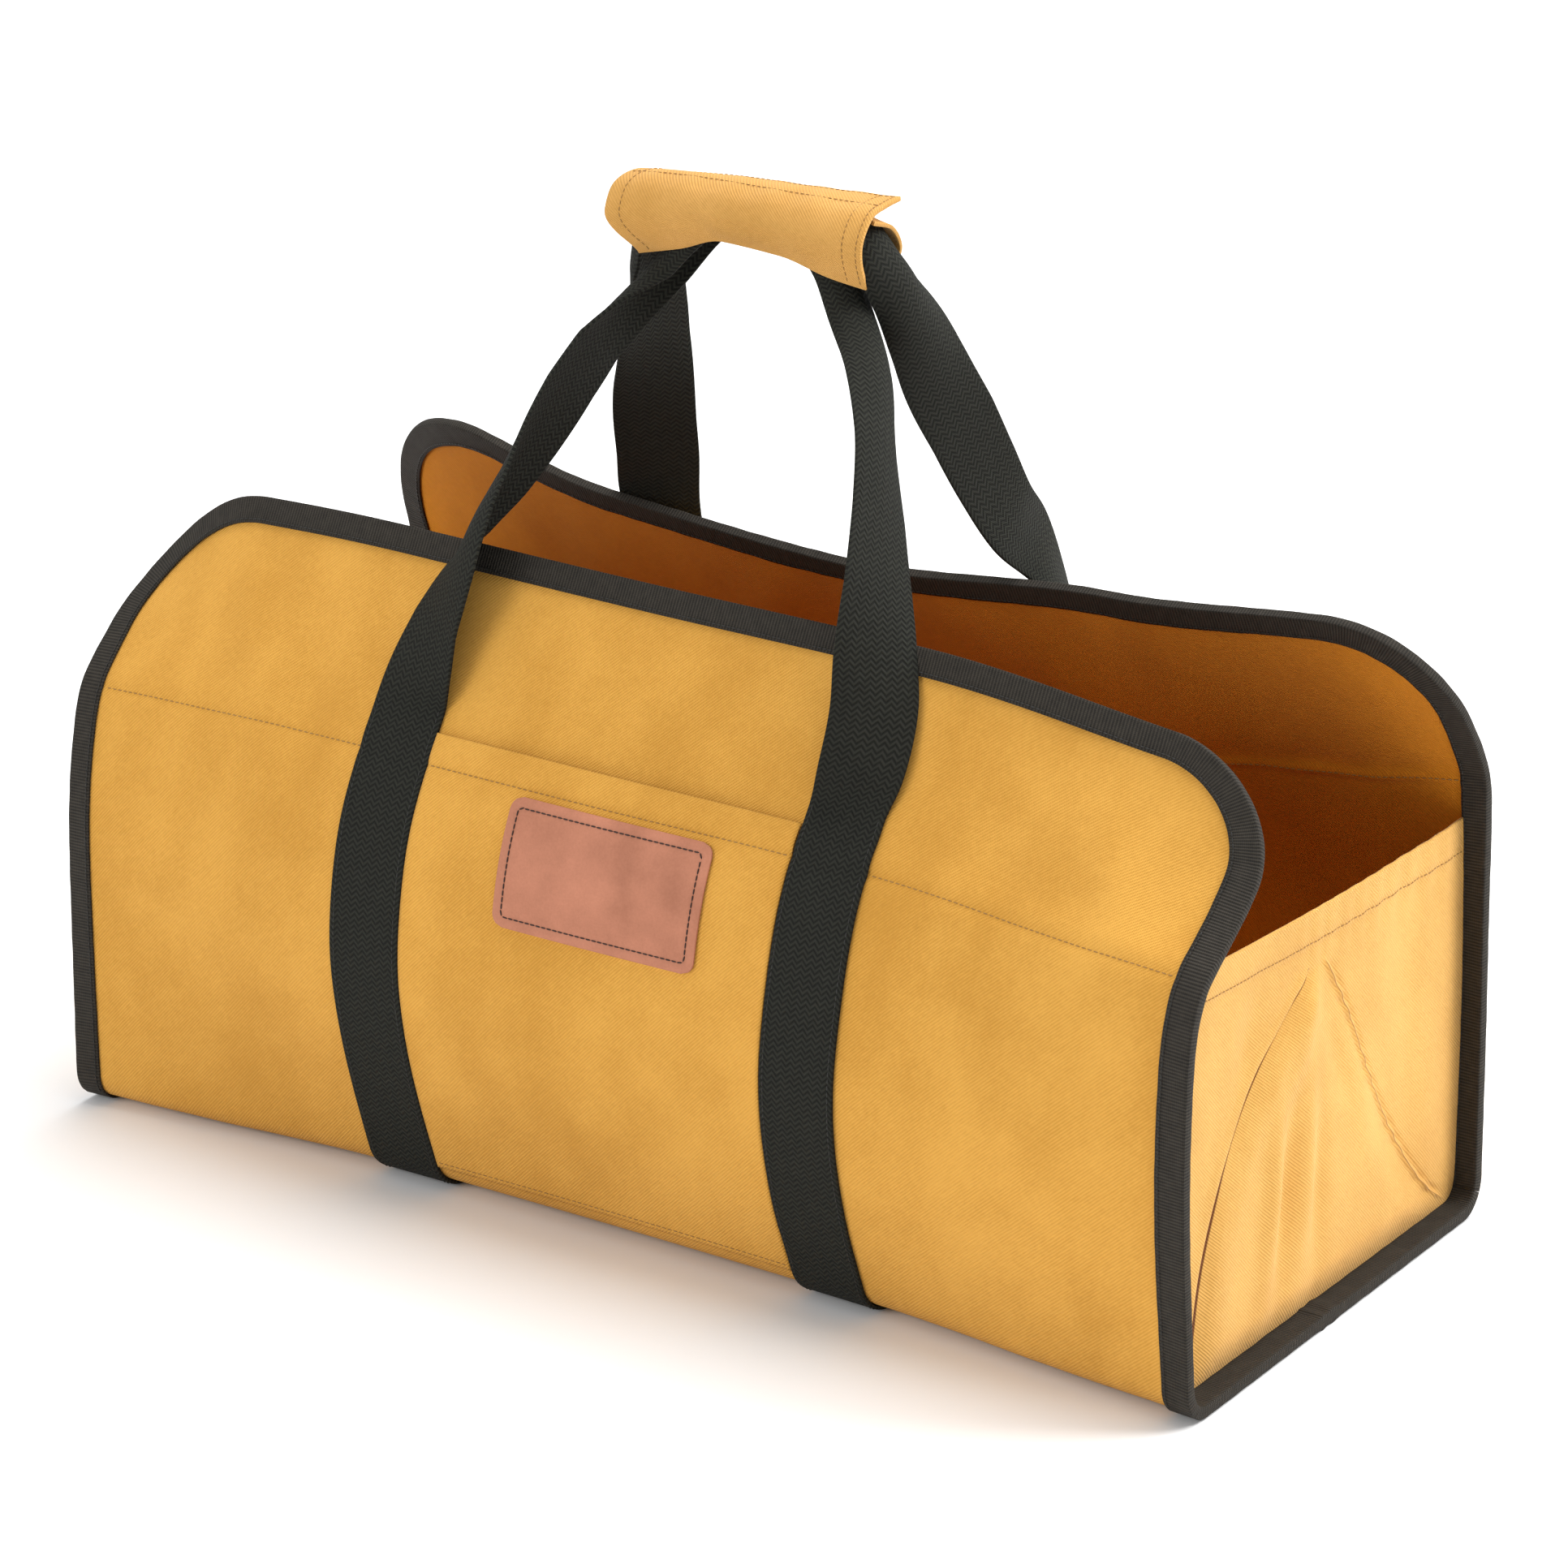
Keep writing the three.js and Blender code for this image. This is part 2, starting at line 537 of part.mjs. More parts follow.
// The end wall: flanges turned out along the front, base and back, a hem along the top and
// the pleat that lets the carrier fold flat.
function gusset(end) {
  const flangeEdge = halfLength - clothEdge;
  const plateOut = halfLength - tapeCover - sewnGap;
  const plateIn = plateOut - gussetWall;
  const under = -sewnGap;
  const hemStart = gussetFrontGirth - gussetHem;
  const rises = girthRows.filter((girth) => girth >= footGirth && girth < hemStart);
  const rowGirths = [...rises, hemStart, hemStart + hemStep, gussetFrontGirth];
  const startGirth = rowGirths[0];
  const creaseRises = foldCreases.map((row) => row.rise);
  const frontCrease = smoothCurve(creaseRises, foldCreases.map((row) => row.front));
  const backCrease = smoothCurve(creaseRises, foldCreases.map((row) => row.back));
  const peak = clothPoint(end * plateOut, -foldPeakGirth * gussetFrontGirth, 0).z;
  const foot = clothPoint(end * plateOut, -startGirth, 0).z;

  // Places across one row, as distances from the middle line, and how far each stands out.
  const acrossRow = (z, front, back) => {
    const rise = Math.min(Math.max((z - foot) / (peak - foot), 0), 1);
    const lip = foldLip;
    const creaseA = Math.max(frontCrease(rise) * endBase, front + 6 * lip);
    const creaseB = Math.min(Math.max(backCrease(rise) * endBase, creaseA + 3 * lip), back - 4 * lip);
    const fade = THREE.MathUtils.smoothstep(rise, 0.02, 0.2) * (1 - THREE.MathUtils.smoothstep(rise, 0.93, 1));
    const stand = foldStand * fade;
    const middle = (share) => creaseA + (creaseB - creaseA) * share;
    const ahead = (share) => front + (creaseA - lip - front) * share;
    const behind = (share) => creaseB + lip + (back - creaseB - lip) * share;
    return [
      [ahead(0.33), 0], [ahead(0.66), 0], [creaseA - lip, 0], [creaseA, stand * 0.8],
      [middle(0.3), stand], [middle(0.65), stand * 0.9], [creaseB, stand * 0.55],
      [creaseB + lip, 0], [behind(0.35), 0], [behind(0.7), 0],
    ];
  };

  const wallGrid = (wallX, flangeOut, hemStand) => {
    const rows = rowGirths.map((girth) => {
      const backGirth = backGirthOf(girth);
      const frontPoint = clothPoint(end * wallX, -girth, flangeOut);
      const backPoint = clothPoint(end * wallX, backGirth, flangeOut);
      const frontEdge = clothPoint(end * flangeEdge, -girth, flangeOut);
      const backEdge = clothPoint(end * flangeEdge, backGirth, flangeOut);
      const level = (frontPoint.z + backPoint.z) / 2;
      const hem = girth > hemStart + hemStep / 2 ? hemStand : 0;
      const inside = acrossRow(level, frontPoint.y, backPoint.y).map(([y, stand]) => {
        const t = (y - frontPoint.y) / (backPoint.y - frontPoint.y);
        const place = frontPoint.clone().lerp(backPoint, t);
        place.x += end * (stand + hem);
        return place;
      });
      return [frontEdge, frontPoint, ...inside, backPoint, backEdge];
    });
    const lowest = rows[0];
    const bottomEdge = lowest.map((p) => new THREE.Vector3(p.x + end * (flangeEdge - wallX), p.y, p.z));
    bottomEdge[0] = lowest[0].clone();
    bottomEdge[1] = lowest[0].clone();
    bottomEdge[lowest.length - 2] = lowest[lowest.length - 1].clone();
    bottomEdge[lowest.length - 1] = lowest[lowest.length - 1].clone();
    return [bottomEdge, ...rows];
  };
  return sheetBody(
    wallGrid(plateIn, under, 0),
    wallGrid(plateOut, under - gussetWall, gussetWall),
  );
}

// The middle of the grip's arch, and the radius at which each strap is bowed inside it.
const archCentre = gripHeight - gripWall - gripRadius;
const backBow = gripRadius - gripSeat - strapWall / 2;
const frontBow = backBow - strapWall - strapStack;

// One section of a strap as a row of points across its width, on the face that lies at depth
// from its middle surface. bow is the angle through which the width is bowed, in radians.
function strapRow(place, across, outward, bow, depth) {
  return [-1, -0.5, 0, 0.5, 1].map((share) => {
    const angle = (share * bow) / 2;
    const radius = bow > 0.01 ? strapWidth / bow : 0;
    const aside = bow > 0.01 ? radius * Math.sin(angle) : (share * strapWidth) / 2;
    const dropped = radius * (1 - Math.cos(angle));
    return place.clone()
      .addScaledVector(across, aside + depth * Math.sin(angle))
      .addScaledVector(outward, depth * Math.cos(angle) - dropped);
  });
}

// The strap where it is sewn to the canvas, by the walk along the loop: its left and right
// edges only, as the canvas under it is straight between them.
function sewnRow(x, girth, walksDown, depth) {
  const out = canvasWall + sewnGap + strapWall / 2 + depth;
  const left = walksDown ? x + strapWidth / 2 : x - strapWidth / 2;
  const leftEdge = clothPoint(left, girth, out);
  const rightEdge = clothPoint(2 * x - left, girth, out);
  return [leftEdge, leftEdge, leftEdge, rightEdge, rightEdge];
}

// Even steps along a smooth line through the places of a route, with its other columns.
function evenRoute(route, places) {
  const line = new THREE.CatmullRomCurve3(places, false, 'centripetal');
  const marks = route.map((row, i) => i / (route.length - 1));
  const twistAt = smoothCurve(marks, route.map((row) => row.twist));
  const bowAt = smoothCurve(marks, route.map((row) => row.bow));
  const steps = Math.round(line.getLength() / strapStep);
  const result = [];
  for (let i = 0; i <= steps; i += 1) {
    const mark = line.getUtoTmapping(i / steps);
    result.push({
      place: line.getPoint(mark),
      along: line.getTangent(mark),
      twist: THREE.MathUtils.degToRad(twistAt(mark)),
      bow: bowAt(mark),
    });
  }
  return result;
}

// One strap: from the middle of the base up the left of one side, through the grip and down
// its right.
function strap(side, route, bowRadius) {
  const rows = girthRowsOn(side).filter((girth) => girth > 0 && girth <= strapSewnGirth);
  rows.unshift(sewnGap / 2);
  const sewnEnd = clothPoint(strapCentre, side * strapSewnGirth, canvasWall);
  const run = archCentre + bowRadius;
  const places = route.map((row) => new THREE.Vector3(
    row.x * strapCentre,
    row.y * endBase,
    sewnEnd.z + row.rise * (run - sewnEnd.z),
  ));
  const free = evenRoute(route, places);
  const face = (depth) => {
    const up = rows.map((girth) => sewnRow(-strapCentre, side * girth, false, depth));
    const down = rows.map((girth) => sewnRow(strapCentre, side * girth, true, depth));
    const between = free.map(({ place, along, twist, bow }) => {
      const level = new THREE.Vector3(0, 1, 0).cross(along).normalize();
      const crossing = along.clone().cross(level);
      const across = level.multiplyScalar(Math.cos(twist)).addScaledVector(crossing, Math.sin(twist));
      const outward = along.clone().cross(across).multiplyScalar(side);
      return strapRow(place, across, outward, (bow * strapWidth) / bowRadius, depth);
    });
    return [...up, ...between, ...down.reverse()];
  };
  return sheetBody(face(strapWall / 2), face(-strapWall / 2));
}

// The canvas grip: an arch over the straps whose sides hang past them.
function gripWrap() {
  const stations = gripSections.map((row) => row.station);
  const bendAt = smoothCurve(stations, gripSections.map((row) => row.bend));
  const frontAt = smoothCurve(stations, gripSections.map((row) => row.front));
  const backAt = smoothCurve(stations, gripSections.map((row) => row.back));
  const places = [-1, -0.85, -0.65, -0.45, -0.2, 0, 0.2, 0.4, 0.6, 0.8, 0.93, 1];
  const archSteps = 12;
  const wall = (thickness) => places.map((place) => {
    const x = gripCentreX + (place * gripLength) / 2;
    const radius = gripRadius + thickness;
    const centre = archCentre + bendAt(place) * gripRadius;
    const points = [];
    const hang = (y, amount) => [1, 0.5].map((share) => (
      new THREE.Vector3(x, y, centre - amount * gripRadius * share)
    ));
    points.push(...hang(-radius, frontAt(place)));
    for (let i = 0; i <= archSteps; i += 1) {
      const angle = (Math.PI * i) / archSteps;
      const y = -radius * Math.cos(angle);
      points.push(new THREE.Vector3(x, y, centre + radius * Math.sin(angle)));
    }
    points.push(...hang(radius, backAt(place)).reverse());
    return points;
  });
  return sheetBody(wall(gripWall), wall(0));
}

// The front pocket, between the straps, with its turned hem.
function pocket() {
  const reach = strapInnerEdge - sewnGap;
  const columns = [-reach, ...lengthColumns.filter((x) => Math.abs(x) < reach - edgeMargin), reach];
  const hemStart = pocketTopGirth - pocketHem;
  const between = girthRows.filter((g) => g >= pocketBottomGirth && g <= pocketTopGirth);
  const girths = [...between, hemStart, hemStart + hemStep].sort((a, b) => a - b).map((g) => -g);
  const lower = canvasWall + sewnGap;
  const upper = (girth) => lower + pocketWall + (girth < -hemStart - hemStep / 2 ? pocketHemWall : 0);
  return sheetBody(clothGrid(columns, girths, upper), clothGrid(columns, girths, lower));
}

// The bare leather patch on the pocket, with rounded corners.
function leatherPatch() {
  const lower = canvasWall + sewnGap + pocketWall + sewnGap;
  const cornerSteps = [0, 0.1, 0.35, 0.7, 1].map((share) => share * patchRadius);
  const top = patchBottomGirth + patchHeight;
  const inside = girthRows.filter((girth) => (
    girth > patchBottomGirth + patchRadius + edgeMargin && girth < top - patchRadius - edgeMargin
  ));
  const girths = [
    ...cornerSteps.map((step) => patchBottomGirth + step),
    ...inside,
    ...cornerSteps.map((step) => top - step).reverse(),
  ];
  const wall = (out) => girths.map((girth) => {
    const fromEdge = Math.min(girth - patchBottomGirth, top - girth);
    const short = Math.max(patchRadius - fromEdge, 0);
    const drawnIn = patchRadius - Math.sqrt(patchRadius ** 2 - short ** 2);
    const half = patchWidth / 2 - drawnIn;
    return [-1, 0, 1].map((share) => clothPoint(patchCentreX + share * half, -girth, out));
  });
  return sheetBody(wall(lower + patchWall), wall(lower));
}

addPiece('body_panel', bodyPanel(), canvas);
addPiece('gusset_right', gusset(1), canvas);
addPiece('gusset_left', gusset(-1), canvas);
addPiece('binding_front', rimBinding(-1), tape);
addPiece('binding_back', rimBinding(1), tape);
addPiece('binding_base_right', baseBinding(1), tape);
addPiece('binding_base_left', baseBinding(-1), tape);
addPiece('strap_front', strap(-1, frontStrapRoute, frontBow), webbing);
addPiece('strap_back', strap(1, backStrapRoute, backBow), webbing);
addPiece('grip_wrap', gripWrap(), canvas);
addPiece('pocket', pocket(), canvas);
addPiece('leather_patch', leatherPatch(), leather);

// The origin is under the middle of the whole object.
const bounds = new THREE.Box3().setFromObject(group);
const middle = bounds.getCenter(new THREE.Vector3());
group.position.set(-middle.x, -middle.y, -bounds.min.z);
group.updateMatrixWorld(true);

export default group;
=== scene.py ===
# %% [markdown]
# A canvas log carrier, standing open. The real one is a long trough of heavy twill canvas whose
# ends are closed by pleated gussets. Ribbed tape binds every edge, two loops of webbing carry
# it, and a canvas wrap turns the loops into one grip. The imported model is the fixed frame:
# it gives the place and size of every piece, and this script gives them their cloth.

# %% Load the frame
import math

import bmesh
import bpy
import numpy as np
from mathutils import Matrix, Vector


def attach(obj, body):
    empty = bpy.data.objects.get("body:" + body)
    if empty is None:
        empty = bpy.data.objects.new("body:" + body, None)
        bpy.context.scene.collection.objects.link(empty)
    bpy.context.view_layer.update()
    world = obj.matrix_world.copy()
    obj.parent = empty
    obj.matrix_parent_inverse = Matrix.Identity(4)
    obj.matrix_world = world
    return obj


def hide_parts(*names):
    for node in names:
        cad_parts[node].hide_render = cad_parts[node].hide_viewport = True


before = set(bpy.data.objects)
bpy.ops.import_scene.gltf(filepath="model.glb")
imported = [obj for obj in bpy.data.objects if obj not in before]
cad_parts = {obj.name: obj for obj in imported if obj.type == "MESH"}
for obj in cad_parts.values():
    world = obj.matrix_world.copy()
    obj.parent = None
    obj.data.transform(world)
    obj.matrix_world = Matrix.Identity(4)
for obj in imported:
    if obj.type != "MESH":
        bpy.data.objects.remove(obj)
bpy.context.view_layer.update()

MM = 0.001


def add_object(name, data):
    """A new object in the scene, at the origin and unturned."""
    made = bpy.data.objects.new(name, data)
    bpy.context.scene.collection.objects.link(made)
    return made


# %% [markdown]
# The camera comes first, so that every piece can be judged against one view. The picture was
# taken from the right of the front with a long lens, so the edges hardly converge. The lens is
# given by its focal length in pixels of a square picture, and the aim by a point that the
# middle of the picture sees.

# %% Camera
PICTURE = 1932
FOCAL_PIXELS = 10000
VIEW_AZIMUTH = math.radians(35.0)
VIEW_ELEVATION = math.radians(21.3)
VIEW_DISTANCE = 3716 * MM
AIM_RIGHT = 4.7 * MM
AIM_UP = 168.8 * MM
AIM_SHIFT = np.array([-6.0, -1.92, 1.35]) * MM


def place_camera():
    """The camera stands back from the aim along the view, turned so that up stays up."""
    a, e = VIEW_AZIMUTH, VIEW_ELEVATION
    back = np.array([math.sin(a) * math.cos(e), -math.cos(a) * math.cos(e), math.sin(e)])
    right = np.array([math.cos(a), math.sin(a), 0])
    up = np.cross(back, right)
    data = bpy.data.cameras.new("camera")
    camera = add_object("camera", data)
    data.sensor_width = 36
    data.lens = data.sensor_width * FOCAL_PIXELS / PICTURE
    data.clip_start, data.clip_end = 0.1, 50
    place = right * AIM_RIGHT + up * AIM_UP + back * VIEW_DISTANCE + AIM_SHIFT
    turned = Matrix(np.array([right, up, back]).T.tolist()).to_4x4()
    camera.matrix_world = Matrix.Translation(place) @ turned
    bpy.context.scene.camera = camera
    return camera


camera = place_camera()
print("lens in mm:", round(camera.data.lens, 1))

# %% [markdown]
# Every cloth piece of the body is laid on one map of the canvas: x along the length, girth
# from the middle of the base up a side, and out from the canvas's inner face. The sides are a
# table of cross-sections, each giving the lean of the cloth at nine heights. Walking up the
# lean by small steps of arc keeps the cloth's length true, as real canvas does not stretch.

# %% Sizes of the canvas
BODY_LENGTH = 598 * MM
HALF_GIRTH = 431 * MM
FRONT_LEAD = 12 * MM
BACK_LEAD = -3 * MM
SEAM_GIRTH = 330 * MM
END_BASE = 134 * MM
BOTTOM_RADIUS = 17 * MM
CANVAS_WALL = 1.5 * MM
SEWN_GAP = 0.35 * MM
STRAP_WALL = 1.8 * MM
TAPE_WALL = 0.85 * MM
TAPE_GAP = 0.4 * MM
TAPE_COVER = 12.5 * MM
GUSSET_WALL = 1.1 * MM
HALF_LENGTH = BODY_LENGTH / 2
CLOTH_EDGE = TAPE_WALL + TAPE_GAP
STAND_HEIGHT = CANVAS_WALL + SEWN_GAP + STRAP_WALL
SHIFT = np.array([-6.0, -1.92, 0]) * MM
CORNER_RADIUS = {(-1, -1): 70 * MM, (1, -1): 52 * MM, (-1, 1): 90 * MM, (1, 1): 60 * MM}

STATIONS = 241
GIRTH_STEPS = 869
LEAN_SHARES = np.array([0, 0.16, 0.32, 0.43, 0.53, 0.63, 0.7, 0.8, 1])
# station, base, turn, then the leans at foot, low, belly, high, shoulder, seam, fold, flap, rim
FRONT_SECTIONS = np.array([
    [-1, 1, 0.8, 0, 0, 0, -2, -8, -16, -46, -50, -32],
    [-0.8, 0.95, 0.65, 8, 7, 4, -2, -10, -20, -34, -36, -30],
    [-0.45, 0.895, 0.94, 20, 17, 9, -5, -14, -28, -32, -31, -28],
    [0, 0.888, 1, 22, 19, 8, -6, -13, -25, -33, -31, -28],
    [0.45, 0.895, 0.94, 22, 18, 5, -9, -14, -24, -34, -31, -28],
    [0.8, 0.95, 0.65, 12, 12, 5, -4, -9, -22, -42, -40, -28],
    [1, 1, 0.8, 5, 5, 2, -1, -4, -24, -56, -46, -14],
])
BACK_SECTIONS = np.array([
    [-1, 1, 0.8, 0, 0, 0, -2, -6, -12, -18, -22, -24],
    [-0.8, 0.985, 0.65, 8, 7, 1, -8, -18, -24, -26, -28, -26],
    [-0.45, 1.015, 0.94, 16, 12, 0, -16, -33, -36, -32, -31.5, -31.5],
    [0, 1.03, 1, 16, 12, 0, -16, -34, -38, -33.5, -35, -35],
    [0.45, 1.015, 0.94, 16, 12, 0, -16, -33, -36, -28, -26.5, -26.5],
    [0.8, 0.985, 0.65, 8, 6, 0, -7, -14, -20, -27.5, -31.5, -27.5],
    [1, 0.97, 0.8, 0, 0, -1, -1, 0, -4, -26, -36, -24],
])


# %% The map of the canvas
def unit(vectors):
    """Vectors of length one."""
    return vectors / np.linalg.norm(vectors, axis=-1, keepdims=True)


def run_length(points):
    """Distance along a line of points, from its first one."""
    return np.concatenate([[0], np.cumsum(np.linalg.norm(np.diff(points, axis=0), axis=1))])


def smooth_curve(xs, ys, x):
    """Hermite curve through (xs, ys) that never swings past them: the tangent at a point is the
    harmonic mean of the slopes beside it. ys may hold one curve per column, x one row per curve."""
    ys = ys.reshape(len(xs), -1)
    x = np.clip(np.broadcast_to(x, (ys.shape[1], np.shape(x)[-1])), xs[0], xs[-1])
    slopes = np.diff(ys, axis=0) / np.diff(xs)[:, None]
    before, after = np.vstack([slopes[:1], slopes]), np.vstack([slopes, slopes[-1:]])
    same = before * after > 0
    tangents = np.where(same, 2 * before * after / np.where(same, before + after, 1), 0)
    i = np.clip(np.searchsorted(xs, x, side="right") - 1, 0, len(xs) - 2)
    column = np.arange(ys.shape[1])[:, None]
    span = xs[i + 1] - xs[i]
    t = (x - xs[i]) / span
    low, high = ys[i, column], ys[i + 1, column]
    leaving = tangents[i, column] * span * t * (1 - t) ** 2
    arriving = tangents[i + 1, column] * span * t * t * (t - 1)
    return low + (high - low) * t * t * (3 - 2 * t) + leaving + arriving


def walk_sections(sections):
    """Cross-sections every few millimetres along x, each walked up its girth: y and z are the
    sums of cos and sin of the cloth's slope, and the slope turns up from flat by the lean."""
    stations = np.linspace(-1, 1, STATIONS)
    columns = smooth_curve(sections[:, 0], sections[:, 1:], stations)
    base, turn, leans = columns[0] * END_BASE, columns[1] * BOTTOM_RADIUS, columns[2:]
    girth = np.linspace(0, HALF_GIRTH, GIRTH_STEPS)
    flat, arc = (base - turn)[:, None], (turn * math.pi / 2)[:, None]
    turned = np.clip((girth - flat) / arc, 0, 1)
    start = flat + arc / 2
    share = np.clip((girth - start) / (HALF_GIRTH - start), 0, 1)
    angle = np.radians(turned * (90 - smooth_curve(LEAN_SHARES, leans, share)))
    stride = girth[1]
    y = np.cumsum(np.cos(angle), axis=1) * stride - np.cos(angle) * stride
    z = np.cumsum(np.sin(angle), axis=1) * stride - np.sin(angle) * stride
    return np.stack([y, z, angle])


SIDES = {-1: walk_sections(FRONT_SECTIONS), 1: walk_sections(BACK_SECTIONS)}


def look_up(table, x, girth):
    """Values of a table of cross-sections at any x and girth, by weighing its four neighbours."""
    row = np.clip((x / HALF_LENGTH + 1) / 2, 0, 1) * (table.shape[1] - 1.001)
    column = np.clip(np.abs(girth) / HALF_GIRTH, 0, 1) * (table.shape[2] - 1.001)
    i, j = row.astype(int), column.astype(int)
    s, t = row - i, column - j
    low = table[:, i, j] * (1 - t) + table[:, i, j + 1] * t
    high = table[:, i + 1, j] * (1 - t) + table[:, i + 1, j + 1] * t
    return low * (1 - s) + high * s


# Soft folds in the standing cloth. Each row is a long low ridge or dent on one side:
# x, girth, direction in degrees from the length, half length, half width, height.
FOLDS = np.array([
    [-215, -372, 62, 46, 12, 1.6],
    [-172, -352, 74, 40, 10, -1.4],
    [-240, -250, 20, 60, 26, 1.2],
    [-200, -190, 38, 70, 20, -0.9],
    [30, -395, 12, 90, 16, 0.9],
    [205, -330, 66, 46, 15, -1.6],
    [243, -362, 58, 40, 13, 1.7],
    [232, -240, 80, 70, 22, 1.1],
    [60, -170, 8, 110, 20, 0.8],
    [-60, 380, 60, 46, 15, -2.2],
    [-20, 350, 52, 50, 14, 1.6],
    [90, 372, 118, 44, 16, -1.7],
    [190, 352, 64, 52, 18, 1.8],
    [238, 322, 84, 46, 16, -1.6],
    [-190, 366, 70, 50, 14, 1.5],
    [-150, 250, 84, 80, 22, 1.0],
    [120, 230, 96, 80, 22, -1.0],
])


def relief(x, girth):
    """Height of the folds: a sum of long bell-shaped ridges, dying away towards taped edges."""
    height = 0 * x
    for at_x, at_girth, turn, long, wide, rise in FOLDS:
        u, v = x / MM - at_x, girth / MM - at_girth
        c, s = math.cos(math.radians(turn)), math.sin(math.radians(turn))
        along, aside = (u * c + v * s) / long, (v * c - u * s) / wide
        height = height + rise * np.exp(-along ** 2 - aside ** 2)
    waves = 0.28 * np.sin(x / MM / 23 + girth / MM / 61) * np.sin(girth / MM / 37 - x / MM / 90 + 1.3)
    past_seam = (np.abs(girth) - SEAM_GIRTH) / MM
    deep = np.where(girth < 0, 1, 1.8)
    groove = -0.75 * np.exp(-(past_seam / 2.2) ** 2) + 0.5 * np.exp(-((past_seam - 7) / 6) ** 2)
    groove = groove * (0.8 + 0.35 * np.sin(x / MM / 9.0) * np.sin(x / MM / 23.0 + 2))
    height = height + deep * groove
    edge = np.clip((HALF_LENGTH - np.abs(x)) / (30 * MM), 0, 1)
    rim = np.clip((HALF_GIRTH - np.abs(girth)) / (24 * MM), 0, 1)
    side = np.clip((np.abs(girth) - 125 * MM) / (30 * MM), 0, 1)
    return (height + waves) * MM * edge * rim * side


def cloth(x, girth, out):
    """A point of the body's cloth: the cross-section's line, moved along its normal by out and by
    the folds. Front girths are negative."""
    x, girth, out = np.broadcast_arrays(*(np.asarray(v, float) for v in (x, girth, out)))
    y, z, angle = np.where(girth < 0, look_up(SIDES[-1], x, girth), look_up(SIDES[1], x, girth))
    proud = out + relief(x, girth)
    y, z = y + np.sin(angle) * proud, z - np.cos(angle) * proud
    lead = np.clip(x / HALF_LENGTH, 0, 1) ** 3
    lead = lead * (FRONT_LEAD + (BACK_LEAD - FRONT_LEAD) * (np.clip(girth / END_BASE, -1, 1) + 1) / 2)
    return np.stack([x + lead, np.where(girth < 0, -y, y), z + STAND_HEIGHT], -1) + SHIFT


def lift(x, girth, out):
    """The unit direction in which out grows at a point of the cloth."""
    return unit(cloth(x, girth, out + 1 * MM) - cloth(x, girth, out))


top = cloth(0.0, -HALF_GIRTH, 0.0)
print("front rim in the middle, mm:", np.round(top / MM))


# %% [markdown]
# A surface is a grid of points. The helper turns it into a mesh with a UV map in metres, so
# that weave keeps its scale on every piece. Solidify then gives the cloth its wall, and Bevel
# rounds the cut edge. A material offset on the Solidify gives the wall's inner side a darker,
# redder canvas: painted shade and painted bounce light inside the carrier.

# %% Mesh helpers
def add_uv(mesh, name, values):
    """A UV layer from two numbers for each corner of the mesh's faces."""
    mesh.uv_layers.new(name=name).data.foreach_set("uv", values.astype(np.float32).ravel())


def grid_mesh(name, points, uv, closed=False):
    """A mesh from a grid of points (rows, columns, 3) with two uv numbers each. Quads join
    neighbours. A closed grid is a folded outline carried along a path: its last column joins the
    first, and strips of quads across the outline shut both ends."""
    rows, columns = points.shape[:2]
    i, j = np.meshgrid(np.arange(rows - 1), np.arange(columns - (not closed)), indexing="ij")
    n = (j + 1) % columns
    quads = np.stack([i * columns + j, (i + 1) * columns + j, (i + 1) * columns + n, i * columns + n], -1)
    quads = quads.reshape(-1, 4)
    values = uv.reshape(-1, 2)[quads.ravel()]
    if closed:
        last = np.repeat((j == columns - 1).ravel(), 4) & np.tile([False, False, True, True], len(quads))
        values = values + np.where(last[:, None], 2 * uv[0, -1] - uv[0, -2] - uv[0, 0], 0)
        k = np.arange(columns // 2 - 1)
        strip = np.stack([k, k + 1, columns - 2 - k, columns - 1 - k], -1)
        quads = np.vstack([quads, strip, strip[:, ::-1] + (rows - 1) * columns])
        values = np.vstack([values, np.zeros((8 * len(strip), 2))])
    mesh = bpy.data.meshes.new(name)
    mesh.from_pydata(points.reshape(-1, 3), [], quads.tolist())
    add_uv(mesh, "cloth", values)
    mesh.shade_smooth()
    return add_object(name, mesh)


def facing(points, uv, away_from):
    """Turns a grid over where its faces look towards a point instead of away from it."""
    normal = np.cross(np.gradient(points, axis=0), np.gradient(points, axis=1))
    if np.sum(normal * (points - away_from)) > 0:
        return points, uv
    return points[:, ::-1], uv[:, ::-1]


def thicken(piece, wall, offset, round_edge=0.0):
    """Solidify by a wall, with its cut edge rounded by a small bevel."""
    solid = piece.modifiers.new("wall", "SOLIDIFY")
    solid.thickness, solid.offset, solid.use_even_offset = wall, offset, False
    if round_edge:
        bevel = piece.modifiers.new("cut_edge", "BEVEL")
        bevel.width, bevel.segments, bevel.limit_method = round_edge, 2, "ANGLE"
        bevel.angle_limit = math.radians(50)
    return piece


def face_out(piece):
    """Turns the faces of a closed mesh so that they all look out."""
    work = bmesh.new()
    work.from_mesh(piece.data)
    bmesh.ops.recalc_face_normals(work, faces=work.faces)
    work.to_mesh(piece.data)
    work.free()
    return piece


def paint_inside_shade(piece):
    """Gives the wall's inner side a darker, redder canvas: painted shade inside the carrier."""
    piece.data.materials.append(INSIDE_PAINTED_SHADE)
    piece.modifiers["wall"].material_offset = 1
    return piece


def dress(piece, material, slot, *nodes):
    """Gives a piece its finish, its body and the frame's nodes that it stands for."""
    piece.data.materials.append(material)
    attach(piece, "root")
    if nodes:
        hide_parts(*nodes)
    print(piece.name, len(piece.data.polygons), "faces")
    return piece


